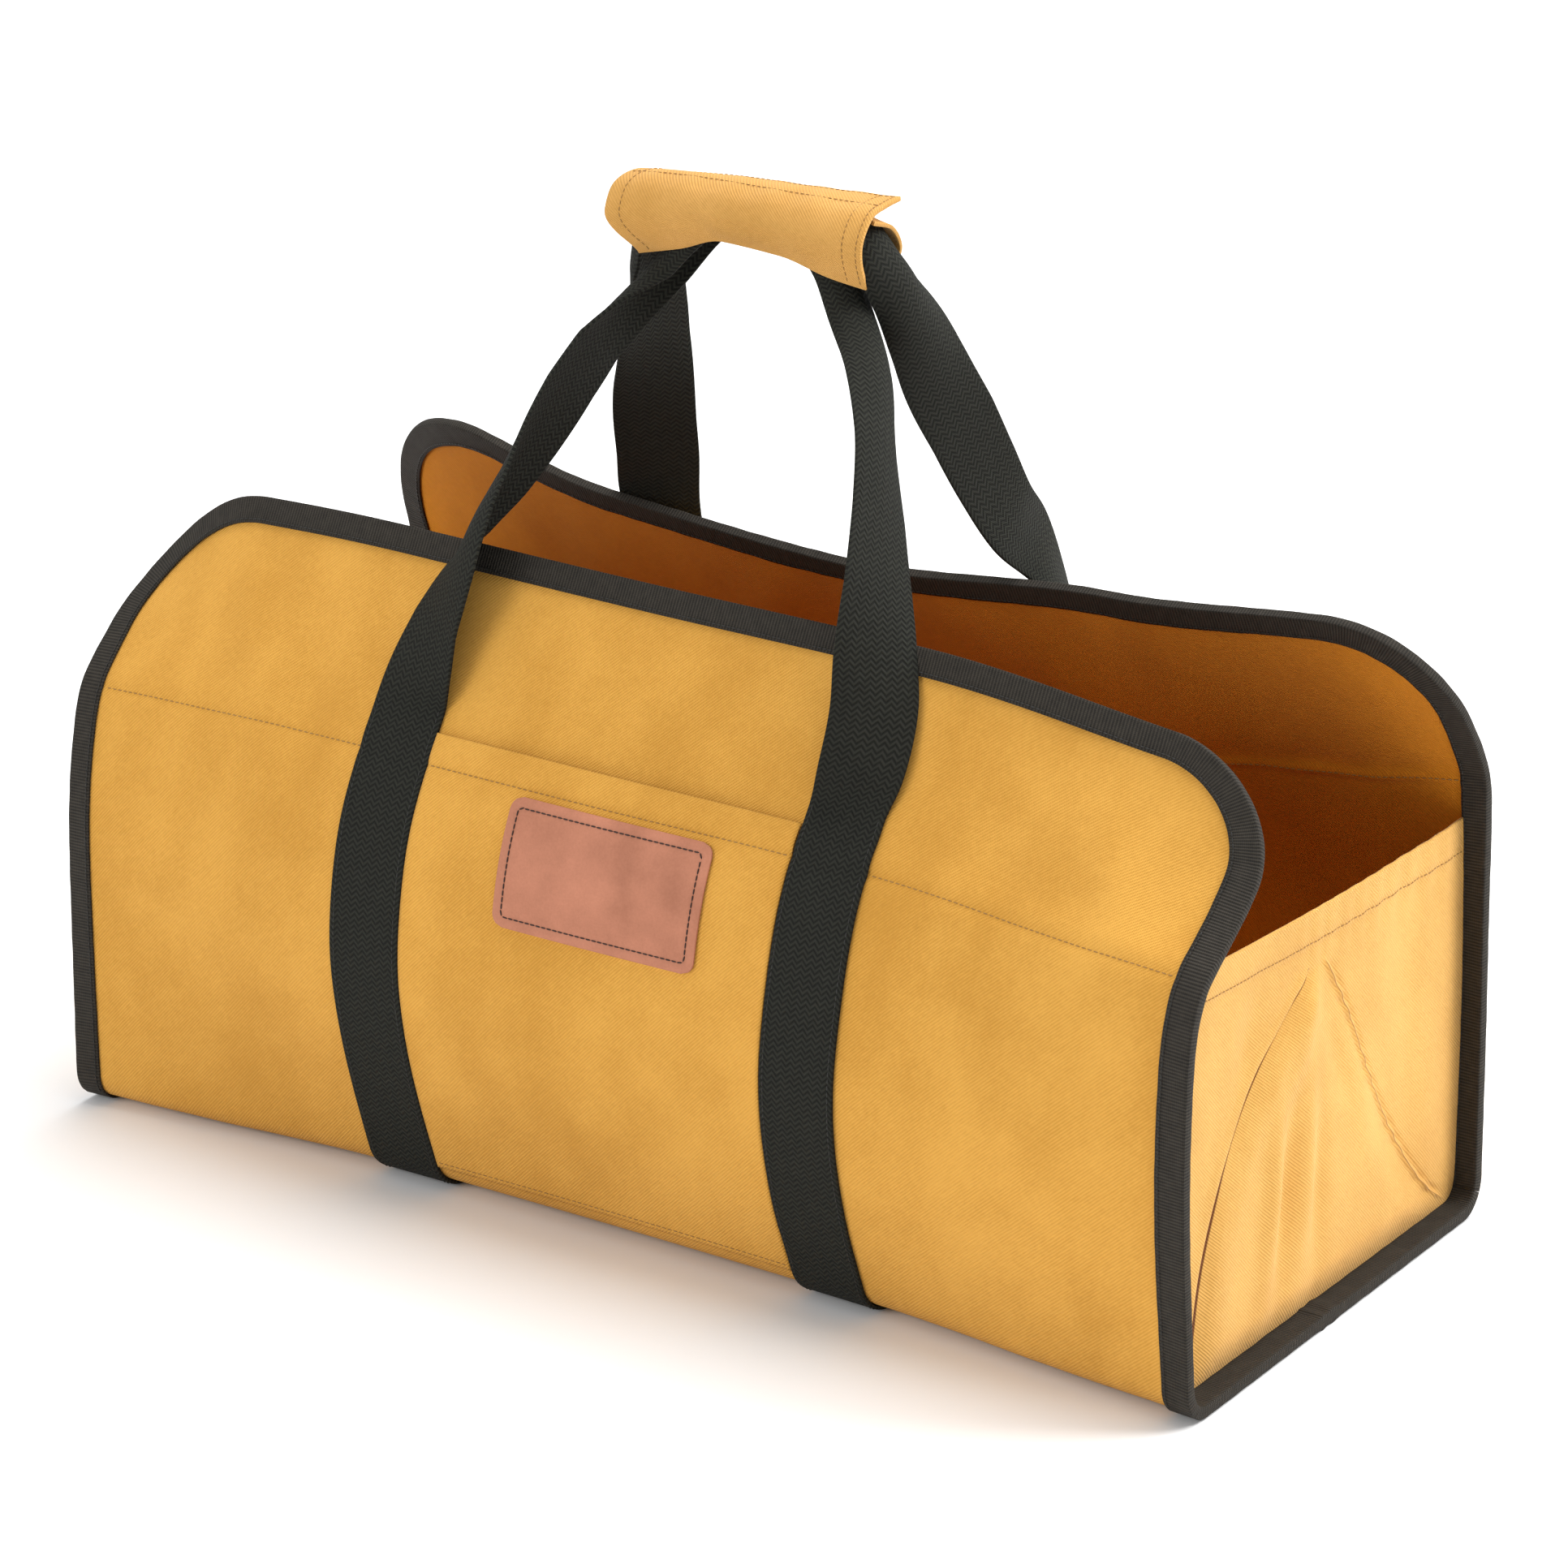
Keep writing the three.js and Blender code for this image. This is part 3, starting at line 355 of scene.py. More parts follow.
# %% [markdown]
# Cloth is recognised by its weave. Each finish here works the weave out from the UV map, in
# millimetres: fine slanting ribs for the twill, chevrons for the webbing and cross ribs for the
# tape. The pattern drives a little colour and a little bump, and slow noise adds the uneven
# dye and handling marks that keep a large cloth from looking painted.

# %% Node helpers
class Finish:
    """A material whose nodes are added by short calls. Sockets may be numbers or other nodes."""

    def __init__(self, name, **settings):
        self.material = bpy.data.materials.new(name)
        self.material.use_nodes = True
        self.tree = self.material.node_tree
        self.shader = self.tree.nodes["Principled BSDF"]
        for socket, value in settings.items():
            self.shader.inputs[socket.replace("_", " ").title().replace("Ior", "IOR")].default_value = value

    def node(self, kind, operation=None, **sockets):
        made = self.tree.nodes.new(kind)
        if operation:
            made.operation = operation
        for key, value in sockets.items():
            self.plug(made.inputs[int(key[1:]) if key[1:].isdigit() else key], value)
        return made

    def plug(self, socket, value):
        if hasattr(value, "links"):
            self.tree.links.new(value, socket)
        elif hasattr(value, "outputs"):
            self.tree.links.new(value.outputs[0], socket)
        else:
            socket.default_value = value

    def math(self, operation, a, b=0.0, c=0.0):
        return self.node("ShaderNodeMath", operation, i0=a, i1=b, i2=c)

    def uv(self):
        split = self.node("ShaderNodeSeparateXYZ", i0=self.uv_map("cloth"))
        return split.outputs[0], split.outputs[1]

    def uv_map(self, name):
        made = self.node("ShaderNodeUVMap")
        made.uv_map = name
        return made

    def line_at(self, distance, half, soft):
        """1 where a distance is below half, easing to 0 over soft."""
        past = self.math("SUBTRACT", self.math("ABSOLUTE", distance), half)
        return self.node("ShaderNodeClamp", i0=self.math("MULTIPLY_ADD", past, -1 / soft, 1.0)).outputs[0]

    def noise(self, scale, detail=3.0, vector=None):
        made = self.node("ShaderNodeTexNoise", Scale=scale, Detail=detail)
        self.plug(made.inputs["Vector"], vector or self.node("ShaderNodeTexCoord").outputs["Object"])
        return made.outputs["Fac"]

    def wave(self, phase, pitch):
        """A smooth rise and fall between 0 and 1 that repeats at every pitch."""
        turned = self.math("SINE", self.math("MULTIPLY", phase, 2 * math.pi / pitch))
        return self.math("MULTIPLY_ADD", turned, 0.5, 0.5)

    def blend(self, factor, dark, light):
        return self.mix("MIX", factor, (*dark, 1), (*light, 1))

    def mix(self, blend_type, factor, colour, other):
        made = self.node("ShaderNodeMix")
        made.data_type, made.blend_type = "RGBA", blend_type
        for socket, value in ((0, factor), (6, colour), (7, other)):
            self.plug(made.inputs[socket], value)
        return made.outputs[2]

    def finish(self, colour, height, distance, strength=1.0, roughness=None):
        self.plug(self.shader.inputs["Base Color"], colour)
        bump = self.node("ShaderNodeBump", Strength=strength, Distance=distance, Height=height)
        self.plug(self.shader.inputs["Normal"], bump)
        if roughness is not None:
            self.plug(self.shader.inputs["Roughness"], roughness)
        return self.material


# %% Canvas, webbing, tape, leather and thread
TWILL_PITCH = 1.75 * MM
YARN_PITCH = 0.9 * MM
WEB_RIB = 2.7 * MM
WEB_BANDS = 8
STRAP_WIDTH = 38 * MM
TAPE_RIB = 1.5 * MM
# Colours multiplied into the end wall's canvas along its creases: painted shadow in the groove beside the
# front lip, and painted shade along the sewn back ridge.
GROOVE_PAINTED_SHADOW = (0.2, 0.1, 0.045, 1)
RIDGE_PAINTED_SHADE = (0.5, 0.42, 0.3, 1)


def canvas_finish(name, light, dark, haze=0.04, painted_crease_shade=False):
    """Twill: slanting ribs, broken by the yarns that cross them, over slow patches of dye. Haze is
    the fuzz that pales the cloth where it is seen from the side. The crease flag paints shade along
    the pleat's creases: a shadow line beside the front lip and a thin shaded line on the back ridge."""
    f = Finish(name, roughness=0.9, sheen_weight=haze, sheen_roughness=0.5, specular_ior_level=0.12)
    u, v = f.uv()
    ribs = f.wave(f.math("ADD", u, v), TWILL_PITCH)
    yarns = f.wave(f.math("SUBTRACT", v, u), YARN_PITCH)
    weave = f.math("MULTIPLY_ADD", yarns, 0.35, f.math("MULTIPLY", ribs, 0.65))
    patches = f.noise(7.0, 5.0)
    drawn_out = f.node("ShaderNodeCombineXYZ", i0=u, i1=f.math("MULTIPLY", v, 0.3)).outputs[0]
    streaks = f.noise(30.0, 3.0, drawn_out)
    wear = f.noise(38.0, 4.0)
    slubs = f.noise(420.0, 2.0)
    tone = f.math("MULTIPLY_ADD", patches, 1.7, -0.6)
    for part, gain, base in ((wear, 0.8, -0.4), (streaks, 0.9, -0.2), (weave, 0.85, -0.42),
                             (slubs, 0.6, -0.3)):
        tone = f.math("ADD", tone, f.math("MULTIPLY_ADD", part, gain, base))
    colour = f.blend(tone, dark, light)
    # Painted shade: a dark shadow line in the groove beside the front crease's lip, and a thin darker line
    # along the back crease's ridge.
    if painted_crease_shade:
        near = f.node("ShaderNodeSeparateXYZ", i0=f.uv_map("crease"))
        for distance, half, soft, shade in ((near.outputs[0], 1.7 * MM, 0.9 * MM, GROOVE_PAINTED_SHADOW),
                                            (near.outputs[1], 0.2 * MM, 0.5 * MM, RIDGE_PAINTED_SHADE)):
            colour = f.mix("MULTIPLY", f.line_at(distance, half, soft), colour, shade)
    height = f.math("MULTIPLY_ADD", slubs, 0.6, weave)
    return f.finish(colour, height, 0.3 * MM, 0.85)


def webbing_finish():
    """Herringbone: ribs that climb to one side and then the other in bands across the strap."""
    f = Finish("webbing", roughness=0.85, specular_ior_level=0.22)
    u, v = f.uv()
    band = f.math("PINGPONG", f.math("MULTIPLY", v, WEB_BANDS / STRAP_WIDTH), 0.5)
    climb = f.math("MULTIPLY", band, STRAP_WIDTH / WEB_BANDS)
    ribs = f.wave(f.math("ADD", u, climb), WEB_RIB)
    threads = f.wave(f.math("SUBTRACT", u, f.math("MULTIPLY", v, 1.6)), WEB_RIB / 2.6)
    weave = f.math("MULTIPLY_ADD", threads, 0.3, f.math("MULTIPLY", ribs, 0.7))
    dust = f.noise(260.0, 3.0)
    tone = f.math("MULTIPLY_ADD", dust, 0.5, f.math("MULTIPLY_ADD", weave, 1.3, -0.45))
    colour = f.blend(tone, (0.005, 0.0052, 0.0038), (0.026, 0.027, 0.020))
    return f.finish(colour, f.math("MULTIPLY_ADD", dust, 0.2, weave), 0.6 * MM, 1.0)


def tape_finish():
    """Ribbed tape: close ribs straight across its length, with a duller selvedge."""
    f = Finish("tape", roughness=0.8, specular_ior_level=0.25)
    u, v = f.uv()
    ribs = f.wave(u, TAPE_RIB)
    ends = f.wave(v, 0.8 * MM)
    weave = f.math("MULTIPLY_ADD", ends, 0.25, f.math("MULTIPLY", ribs, 0.75))
    dust = f.noise(240.0, 3.0)
    tone = f.math("MULTIPLY_ADD", dust, 0.6, f.math("MULTIPLY_ADD", weave, 0.9, -0.25))
    colour = f.blend(tone, (0.008, 0.0066, 0.005), (0.045, 0.038, 0.029))
    return f.finish(colour, f.math("MULTIPLY_ADD", dust, 0.2, weave), 0.4 * MM, 0.95)


def leather_finish():
    """Matte leather: fine pores and soft clouding, rubbed a little paler in places."""
    f = Finish("leather", roughness=0.62, specular_ior_level=0.35, sheen_weight=0.08, sheen_roughness=0.5)
    clouds = f.noise(45.0, 5.0)
    pores = f.node("ShaderNodeTexVoronoi", Scale=1400.0)
    f.plug(pores.inputs["Vector"], f.node("ShaderNodeTexCoord").outputs["Object"])
    grain = f.noise(900.0, 3.0)
    tone = f.math("ADD", f.math("MULTIPLY_ADD", clouds, 1.7, -0.4), f.math("MULTIPLY_ADD", grain, 0.5, -0.25))
    colour = f.blend(tone, (0.33, 0.12, 0.062), (0.52, 0.205, 0.118))
    return f.finish(colour, f.math("MULTIPLY_ADD", pores.outputs["Distance"], 0.7, grain), 0.12 * MM, 0.6)


def thread_finish(name, colour):
    """Twisted thread: slanting turns along each stitch, a touch glossier than the cloth."""
    f = Finish(name, roughness=0.55, specular_ior_level=0.4)
    turns = f.noise(1500.0, 1.0)
    tone = f.blend(turns, tuple(0.75 * c for c in colour), colour)
    return f.finish(tone, turns, 0.08 * MM, 0.5)


CANVAS = canvas_finish("canvas", (0.70, 0.365, 0.07), (0.52, 0.25, 0.038))
# The pale canvas of the grip and the end walls is paler and less saturated than the body's: painted sheen
# haze where light grazes them. The end walls' canvas also carries the painted crease shade.
PALE_CANVAS_PAINTED_SHEEN = canvas_finish("canvas_pale_painted_sheen", (0.63, 0.335, 0.09), (0.50, 0.25, 0.052), haze=0.12)
END_CANVAS_PAINTED_SHEEN_AND_SHADE = canvas_finish("canvas_end_painted_sheen_and_shade", (0.72, 0.40, 0.105), (0.57, 0.295, 0.062), haze=0.14, painted_crease_shade=True)
# The inner side's canvas is darker and redder than the outer one: painted shade and painted bounce light from
# the canvas inside the carrier.
INSIDE_PAINTED_SHADE = canvas_finish("canvas_inside_painted_shade", (0.58, 0.215, 0.012), (0.44, 0.15, 0.007))
WEBBING = webbing_finish()
TAPE = tape_finish()
LEATHER = leather_finish()
GOLD_THREAD = thread_finish("gold_thread", (0.34, 0.175, 0.04))
BLACK_THREAD = thread_finish("black_thread", (0.02, 0.019, 0.017))
BROWN_THREAD = thread_finish("brown_thread", (0.035, 0.012, 0.007))
print("finishes:", len(bpy.data.materials))

# %% [markdown]
# The body is one long panel from rim to rim. Its four corners are cut round, so the columns of
# the grid close up there, as the CAD model's do. The surface is the canvas's outer face.

# %% Body panel
BODY_COLUMNS = 170
BODY_ROWS = 230
BAG_MIDDLE = np.array([0, 0, 0.15])


def corner_radius(x, girth):
    """The cut corner's radius on the side and end where a point lies."""
    radius = np.where(x < 0, CORNER_RADIUS[-1, -1], CORNER_RADIUS[1, -1])
    behind = np.where(x < 0, CORNER_RADIUS[-1, 1], CORNER_RADIUS[1, 1])
    return np.where(girth < 0, radius, behind)


def cut_half_length(x, girth, inset):
    """Half the cloth's length at a girth: straight ends, then the arc of the cut corner."""
    radius = corner_radius(x, girth)
    above = np.abs(girth) - (HALF_GIRTH - radius)
    reach = radius - inset
    arc = HALF_LENGTH - radius + np.sqrt(np.clip(reach ** 2 - above ** 2, 0, None))
    return np.where(above <= 0, HALF_LENGTH - inset, arc)


def fitted(x, girth):
    """Draws the columns outside a fixed stretch in to the cut end."""
    fixed, full = 190 * MM, HALF_LENGTH - CLOTH_EDGE
    cut = cut_half_length(x, girth, CLOTH_EDGE)
    drawn = fixed + (np.abs(x) - fixed) * (cut - fixed) / (full - fixed)
    return np.where(np.abs(x) <= fixed, x, np.sign(x) * drawn)


def body_panel():
    """Grid over x and girth, closer together near the base's turn and near the rim."""
    x = np.linspace(-1, 1, BODY_COLUMNS) * (HALF_LENGTH - CLOTH_EDGE)
    half = np.linspace(0, HALF_GIRTH - CLOTH_EDGE, BODY_ROWS // 2)
    half = np.union1d(half, SEAM_GIRTH + np.linspace(-7, 12, 16) * MM)
    girth = np.concatenate([-half[:0:-1], half])
    girth, x = np.meshgrid(girth, x, indexing="ij")
    x = fitted(x, girth)
    points, uv = facing(cloth(x, girth, CANVAS_WALL), np.stack([x, girth], -1), BAG_MIDDLE)
    piece = grid_mesh("body_canvas", points, uv)
    thicken(piece, CANVAS_WALL, -1)
    dress(piece, CANVAS, "canvas", "body_panel")
    return paint_inside_shade(piece)


body = body_panel()

# %% [markdown]
# The tape is folded over the raw edge and sewn through. Its path follows the cut edge: up one
# end, round the corner, along the rim and down the other end. The profile is a long U with
# rounded selvedges, and ease lets it stand off a little more where it goes round a corner.

# %% Edge tape
TAPE_EASE = 0.4 * MM
CORNER_GIRTH = END_BASE - 0.8 * BOTTOM_RADIUS * (1 - math.pi / 4)
GUSSET_TOP = {-1: 330 * MM, 1: 312 * MM}
TAPE_RISE = 25 * MM
JOINT_AT = -10 * MM


def smoothstep(t, low=0.0, high=1.0):
    """Eases from 0 to 1 between low and high."""
    t = np.clip((t - low) / (high - low), 0, 1)
    return t * t * (3 - 2 * t)


def edge_path(side, step=2.2 * MM):
    """Edge of a flap as x, girth, and the inward direction in both, at even steps. Straight
    ends run in girth, the corners are quarter circles and the rim runs in x."""
    parts = []
    for end in (1, -1):
        radius = CORNER_RADIUS[end, side]
        rise = np.arange(CORNER_GIRTH + SEWN_GAP, HALF_GIRTH - radius, step)
        straight = np.stack([0 * rise + end * HALF_LENGTH, side * rise, 0 * rise - end, 0 * rise], -1)
        angle = np.linspace(0, math.pi / 2, int(radius * math.pi / 2 / step))
        c, s = np.cos(angle), np.sin(angle)
        centre = HALF_LENGTH - radius
        arc = np.stack([end * (centre + radius * c), side * (HALF_GIRTH - radius + radius * s),
                        -end * c, -side * s], -1)
        parts.append(np.vstack([straight, arc])[::end])
    right, left = parts
    x = np.arange(right[-1, 0] - step, left[0, 0] + step / 2, -step)
    rim = np.stack([x, 0 * x + side * HALF_GIRTH, 0 * x, 0 * x - side], -1)
    return np.vstack([right, rim, left])


def tape_profile():
    """The folded tape's closed outline in rows of inset, level and outside: inset is the distance
    in from the edge, level runs from 1 on the outer leg to -1 on the inner one, and outside is 1
    on the tape's outer face and 0 on the face that touches the cloth."""
    inset = np.linspace(TAPE_COVER, 0, 9)
    bend = np.linspace(90, -90, 7)[1:-1]
    outside = [(i, 1, 1) for i in inset]
    outside += [(-0.35 * MM * math.cos(math.radians(b)), b / 90, 1) for b in bend]
    outside += [(i, -1, 1) for i in inset[::-1]]
    inside = [(max(i, TAPE_WALL), level, 0) for i, level, _ in outside[::-1]]
    return np.array(outside + inside)


def gusset_cover(girth):
    """Thickness of gusset under the tape's inner leg, stepping down above the gusset's top."""
    top = np.where(girth < 0, GUSSET_TOP[-1], GUSSET_TOP[1])
    past = (np.abs(girth) - top) / TAPE_RISE
    return (GUSSET_WALL + SEWN_GAP) * (1 - smoothstep(past, 0.1, 1.0))


def tape_piece(name, path, ease, node):
    """Carries the profile along the path. The outer leg lies over the canvas, the inner leg
    under canvas and gusset, and the level blends between them round the fold."""
    profile = tape_profile()
    x, girth, in_x, in_girth = (path[:, k, None] for k in range(4))
    inset, level, outside = profile.T
    ease = ease[:, None]
    cover = gusset_cover(girth)
    high = CANVAS_WALL + TAPE_GAP + ease + TAPE_WALL * outside
    low = -TAPE_GAP - cover - ease - TAPE_WALL * outside
    out = low + (high - low) * (level + 1) / 2
    length = run_length(path[:, :2])[:, None]
    pucker = 0.12 * MM * np.sin(length / (3.1 * MM)) * np.sin(length / (11.7 * MM) + 1) * np.abs(level)
    points = cloth(x + in_x * inset, girth + in_girth * inset, out + pucker * np.sign(level))
    width = np.concatenate([[0], np.cumsum(np.abs(np.diff(inset)) + np.abs(np.diff(level)) * 2 * MM)])
    uv = np.stack(np.broadcast_arrays(length, width[None, :]), -1)
    dress(face_out(grid_mesh(name, points, uv, closed=True)), TAPE, "tape", node)


def bound_edge(side, name, node):
    """The tape of one flap."""
    path = edge_path(side)
    angle = np.arctan2(np.abs(path[:, 3]), np.abs(path[:, 2]))
    ease = TAPE_EASE * (np.sin(angle) * 0.4 + np.sin(2 * angle) * 0.6)
    tape_piece(name, path, ease, node)


def base_edge(end, name, node):
    """The tape across the base at one end. On the right its two ends overlap in a joint."""
    stop = CORNER_GIRTH + 0.25 * MM
    girth = np.linspace(-stop, stop, 220)
    path = np.stack([0 * girth + end * HALF_LENGTH, girth, 0 * girth - end, 0 * girth], -1)
    at = girth - JOINT_AT
    joint = smoothstep(at, -9 * MM, -6.5 * MM) * (1 - smoothstep(at, 6.5 * MM, 9 * MM))
    joint = joint * (0.6 + 0.3 * np.sin(at / (1.6 * MM))) * MM * (end > 0)
    tape_piece(name, path, joint, node)


bound_edge(-1, "tape_front", "binding_front")
bound_edge(1, "tape_back", "binding_back")
base_edge(1, "tape_base_right", "binding_base_right")
base_edge(-1, "tape_base_left", "binding_base_left")

# %% [markdown]
# Each strap is one length of webbing: sewn up the side, free above it, through the grip and
# down again. Its two edges are curves through the same places as the frame's strap. Between
# them the web is flat, or bowed where the grip rounds it.

# %% Straps
STRAP_CENTRE = 233 * MM / 2
STRAP_SEWN_GIRTH = 353 * MM
STRAP_STACK = 1.5 * MM
GRIP_LENGTH = 140 * MM
GRIP_CENTRE_X = -9 * MM
GRIP_WALL = 2.2 * MM
GRIP_RADIUS = 15.8 * MM
GRIP_SEAT = 0.8 * MM
ARCH_CENTRE = 463 * MM - GRIP_WALL - GRIP_RADIUS
BACK_BOW = GRIP_RADIUS - GRIP_SEAT - STRAP_WALL / 2
FRONT_BOW = BACK_BOW - STRAP_WALL - STRAP_STACK
STRAP_ACROSS = 11

# x and y as shares of the strap's and the base's half widths, rise as a share of the free
# height, twist in degrees, bow as a share of the grip's round
FRONT_ROUTE = np.array([
    [-0.975, -0.84, 0.06, -10, 0], [-0.945, -0.775, 0.165, -28, 0], [-0.89, -0.735, 0.275, -43, 0.2],
    [-0.865, -0.655, 0.365, -64, 0.45], [-0.82, -0.525, 0.45, -86, 0.42], [-0.76, -0.415, 0.53, -98, 0.25],
    [-0.685, -0.33, 0.614, -101, 0.1], [-0.62, -0.25, 0.693, -97, 0.1], [-0.57, -0.15, 0.77, -94, 0.5],
    [-0.48, -0.05, 0.85, -91, 1], [-0.38, -0.01, 0.92, -90, 1], [-0.26, 0, 0.975, -90, 1],
    [-0.14, 0, 1, -90, 1], [0.12, 0, 1, -90, 1], [0.24, 0, 0.975, -90, 1],
    [0.35, -0.01, 0.92, -91, 1], [0.45, -0.05, 0.85, -96, 1], [0.63, -0.17, 0.754, -102, 0.6],
    [0.755, -0.31, 0.64, -104, 0.3], [0.845, -0.44, 0.523, -95, 0.1], [0.94, -0.58, 0.405, -80, 0],
    [1.0, -0.67, 0.3, -58, 0], [1.045, -0.735, 0.2, -36, 0], [1.05, -0.815, 0.09, -19, 0],
])
BACK_ROUTE = np.array([
    [-1, 0.56, 0.255, 25, 0], [-0.93, 0.465, 0.365, 35, 0], [-0.89, 0.4, 0.447, 42, 0],
    [-0.84, 0.335, 0.524, 54, 0], [-0.785, 0.27, 0.61, 70, 0], [-0.735, 0.2, 0.696, 80, 0.2],
    [-0.7, 0.12, 0.78, 86, 0.6], [-0.65, 0.04, 0.86, 90, 1], [-0.57, 0, 0.925, 90, 1],
    [-0.44, 0, 0.978, 90, 1], [-0.27, 0, 0.998, 90, 1], [0.25, 0, 1, 90, 1],
    [0.42, 0, 0.985, 90, 1], [0.54, 0, 0.93, 91, 1], [0.59, 0.05, 0.86, 94, 1],
    [0.6, 0.13, 0.773, 100, 0.6], [0.605, 0.21, 0.68, 107, 0.25], [0.635, 0.3, 0.585, 108, 0],
    [0.67, 0.39, 0.49, 104, 0], [0.72, 0.48, 0.395, 92, 0], [0.725, 0.645, 0.31, 79, 0],
    [0.79, 0.695, 0.245, 62, 0], [0.93, 0.735, 0.12, 28, 0],
])


def spline(points, marks, at):
    """Curve through points at marks: cubic pieces whose tangent at a point is the mean of the
    chords beside it, each weighed by the other's length."""
    chord = np.diff(points, axis=0) / np.diff(marks)[:, None]
    gap = np.diff(marks)[:, None]
    inner = (chord[:-1] * gap[1:] + chord[1:] * gap[:-1]) / (gap[1:] + gap[:-1])
    tangent = np.vstack([chord[:1], inner, chord[-1:]])
    i = np.clip(np.searchsorted(marks, at, side="right") - 1, 0, len(marks) - 2)
    span = (marks[i + 1] - marks[i])[:, None]
    t = (at - marks[i])[:, None] / span
    return (points[i] * (1 + 2 * t) * (1 - t) ** 2 + points[i + 1] * t * t * (3 - 2 * t)
            + tangent[i] * span * t * (1 - t) ** 2 + tangent[i + 1] * span * t * t * (t - 1))


def strap_edges(side, route, bow_radius):
    """Left and right edge points of the whole strap as seen walking along it, and its bow."""
    middle = CANVAS_WALL + SEWN_GAP + STRAP_WALL / 2
    rows = np.linspace(0.3 * MM, STRAP_SEWN_GIRTH, 90)
    end = cloth(STRAP_CENTRE, side * STRAP_SEWN_GIRTH, CANVAS_WALL)
    run = ARCH_CENTRE + bow_radius
    places = np.stack([route[:, 0] * STRAP_CENTRE, route[:, 1] * END_BASE,
                       end[2] + route[:, 2] * (run - end[2])], -1) + SHIFT
    chord = unit(np.vstack([places[1:2] - places[:1], places[2:] - places[:-2],
                            places[-1:] - places[-2:-1]]))
    level = unit(np.cross([0, 1, 0], chord))
    crossing = np.cross(chord, level)
    twist = np.radians(route[:, 3])[:, None]
    across = level * np.cos(twist) + crossing * np.sin(twist)
    half = STRAP_WIDTH / 2

    up = [cloth(-STRAP_CENTRE + s * half, side * rows, middle) for s in (-1, 1)]
    down = [cloth(STRAP_CENTRE + s * half, side * rows, middle) for s in (1, -1)]
    left = np.vstack([up[0], places - across * half, down[0][::-1]])
    right = np.vstack([up[1], places + across * half, down[1][::-1]])
    bow = np.concatenate([0 * rows, route[:, 4], 0 * rows]) * STRAP_WIDTH / bow_radius
    return left, right, bow


def strap_piece(name, node, side, route, bow_radius):
    """The web between the edges. A point at share s of the width lies on an arc of angle bow,
    whose middle touches the flat line between the edges."""
    left, right, bow = strap_edges(side, route, bow_radius)
    centre = (left + right) / 2
    marks = run_length(centre)
    at = np.linspace(0, marks[-1], int(marks[-1] / (2.4 * MM)))
    left, right = spline(left, marks, at), spline(right, marks, at)
    bow = np.interp(at, marks, bow)[:, None]
    centre = (left + right) / 2
    across = unit(right - left)
    along = unit(np.gradient(centre, axis=0))
    away = unit(np.cross(along, across)) * side
    share = np.linspace(-1, 1, STRAP_ACROSS)[None, :]
    angle = share * bow / 2
    bent = bow > 0.02
    radius = STRAP_WIDTH / np.where(bent, bow, 1)
    aside = np.where(bent, radius * np.sin(angle), share * STRAP_WIDTH / 2)[..., None]
    dropped = np.where(bent, radius * (1 - np.cos(angle)), 0)[..., None]
    points = centre[:, None] + across[:, None] * aside - away[:, None] * dropped
    uv = np.stack(np.broadcast_arrays(at[:, None], (share + 1) * STRAP_WIDTH / 2), -1)
    piece = grid_mesh(name, points, uv)
    thicken(piece, STRAP_WALL, 0, 0.4 * MM)
    dress(piece, WEBBING, "webbing", node)
    print(name, "length in m:", round(float(marks[-1]), 2))


strap_piece("web_front", "strap_front", -1, FRONT_ROUTE, FRONT_BOW)
strap_piece("web_back", "strap_back", 1, BACK_ROUTE, BACK_BOW)

# %% [markdown]
# The grip is a stiff double layer of the same canvas, wrapped over both webs from the back to
# the front. Its front sheet ends in a free edge along the top of the back, which flares at the
# right, and its back sheet curls down under that edge. Each sheet is a table of cross-sections
# joined by smooth curves, first along the section and then from end to end.

# %% Grip
# Points of the cross-section in mm from the middle of the arch, from the front's lower edge up
# and over to the free edge. station: share of half the length.
FRONT_SHEET = np.array([
    [-1, -13, -21, -17.5, -12, -17.5, -2, -11.5, 9, 0, 13.5, 13, 9.5],
    [-0.6, -15, -14, -18, -6, -17.3, 3, -11, 12.5, 0, 16.3, 14.5, 12.5],
    [-0.2, -17, -6, -18, 0, -16.5, 7, -11, 14, 0, 18, 15, 14.8],
    [0.3, -17, -7, -18, 0, -16.5, 8, -10, 15.3, 1, 18.5, 15.5, 16.5],
    [0.7, -15, -13, -17.8, -2, -16.5, 7.5, -9, 16, 3, 18.8, 16, 18],
    [1, -12.6, -16, -17, -3, -15.6, 7.3, -6.9, 17, 5, 18.9, 17, 19],
])
BACK_SHEET = np.array([
    [-1, 6, 9, 13, 4, 17, -4, 16, -14],
    [-0.2, 8, 14.2, 14, 9.5, 17.6, 2, 17.6, -8],
    [0.6, 5, 14.8, 13.5, 10.3, 17.6, 2, 17.4, -8],
    [1, -6, 13.6, 9, 7.5, 16.8, -3, 13.6, -13],
])
CORNER_ROUND = 15.4 * MM
CORNER_SHARE = 0.42
TOP_ROUND = 9 * MM
TIP_FLARE = -2 * MM
GRIP_SHORT = 3 * MM
FRONT_SHEET_WIDTH = 62 * MM
BACK_SHEET_WIDTH = 32 * MM
BACK_SHEET_WALL = 1.9 * MM


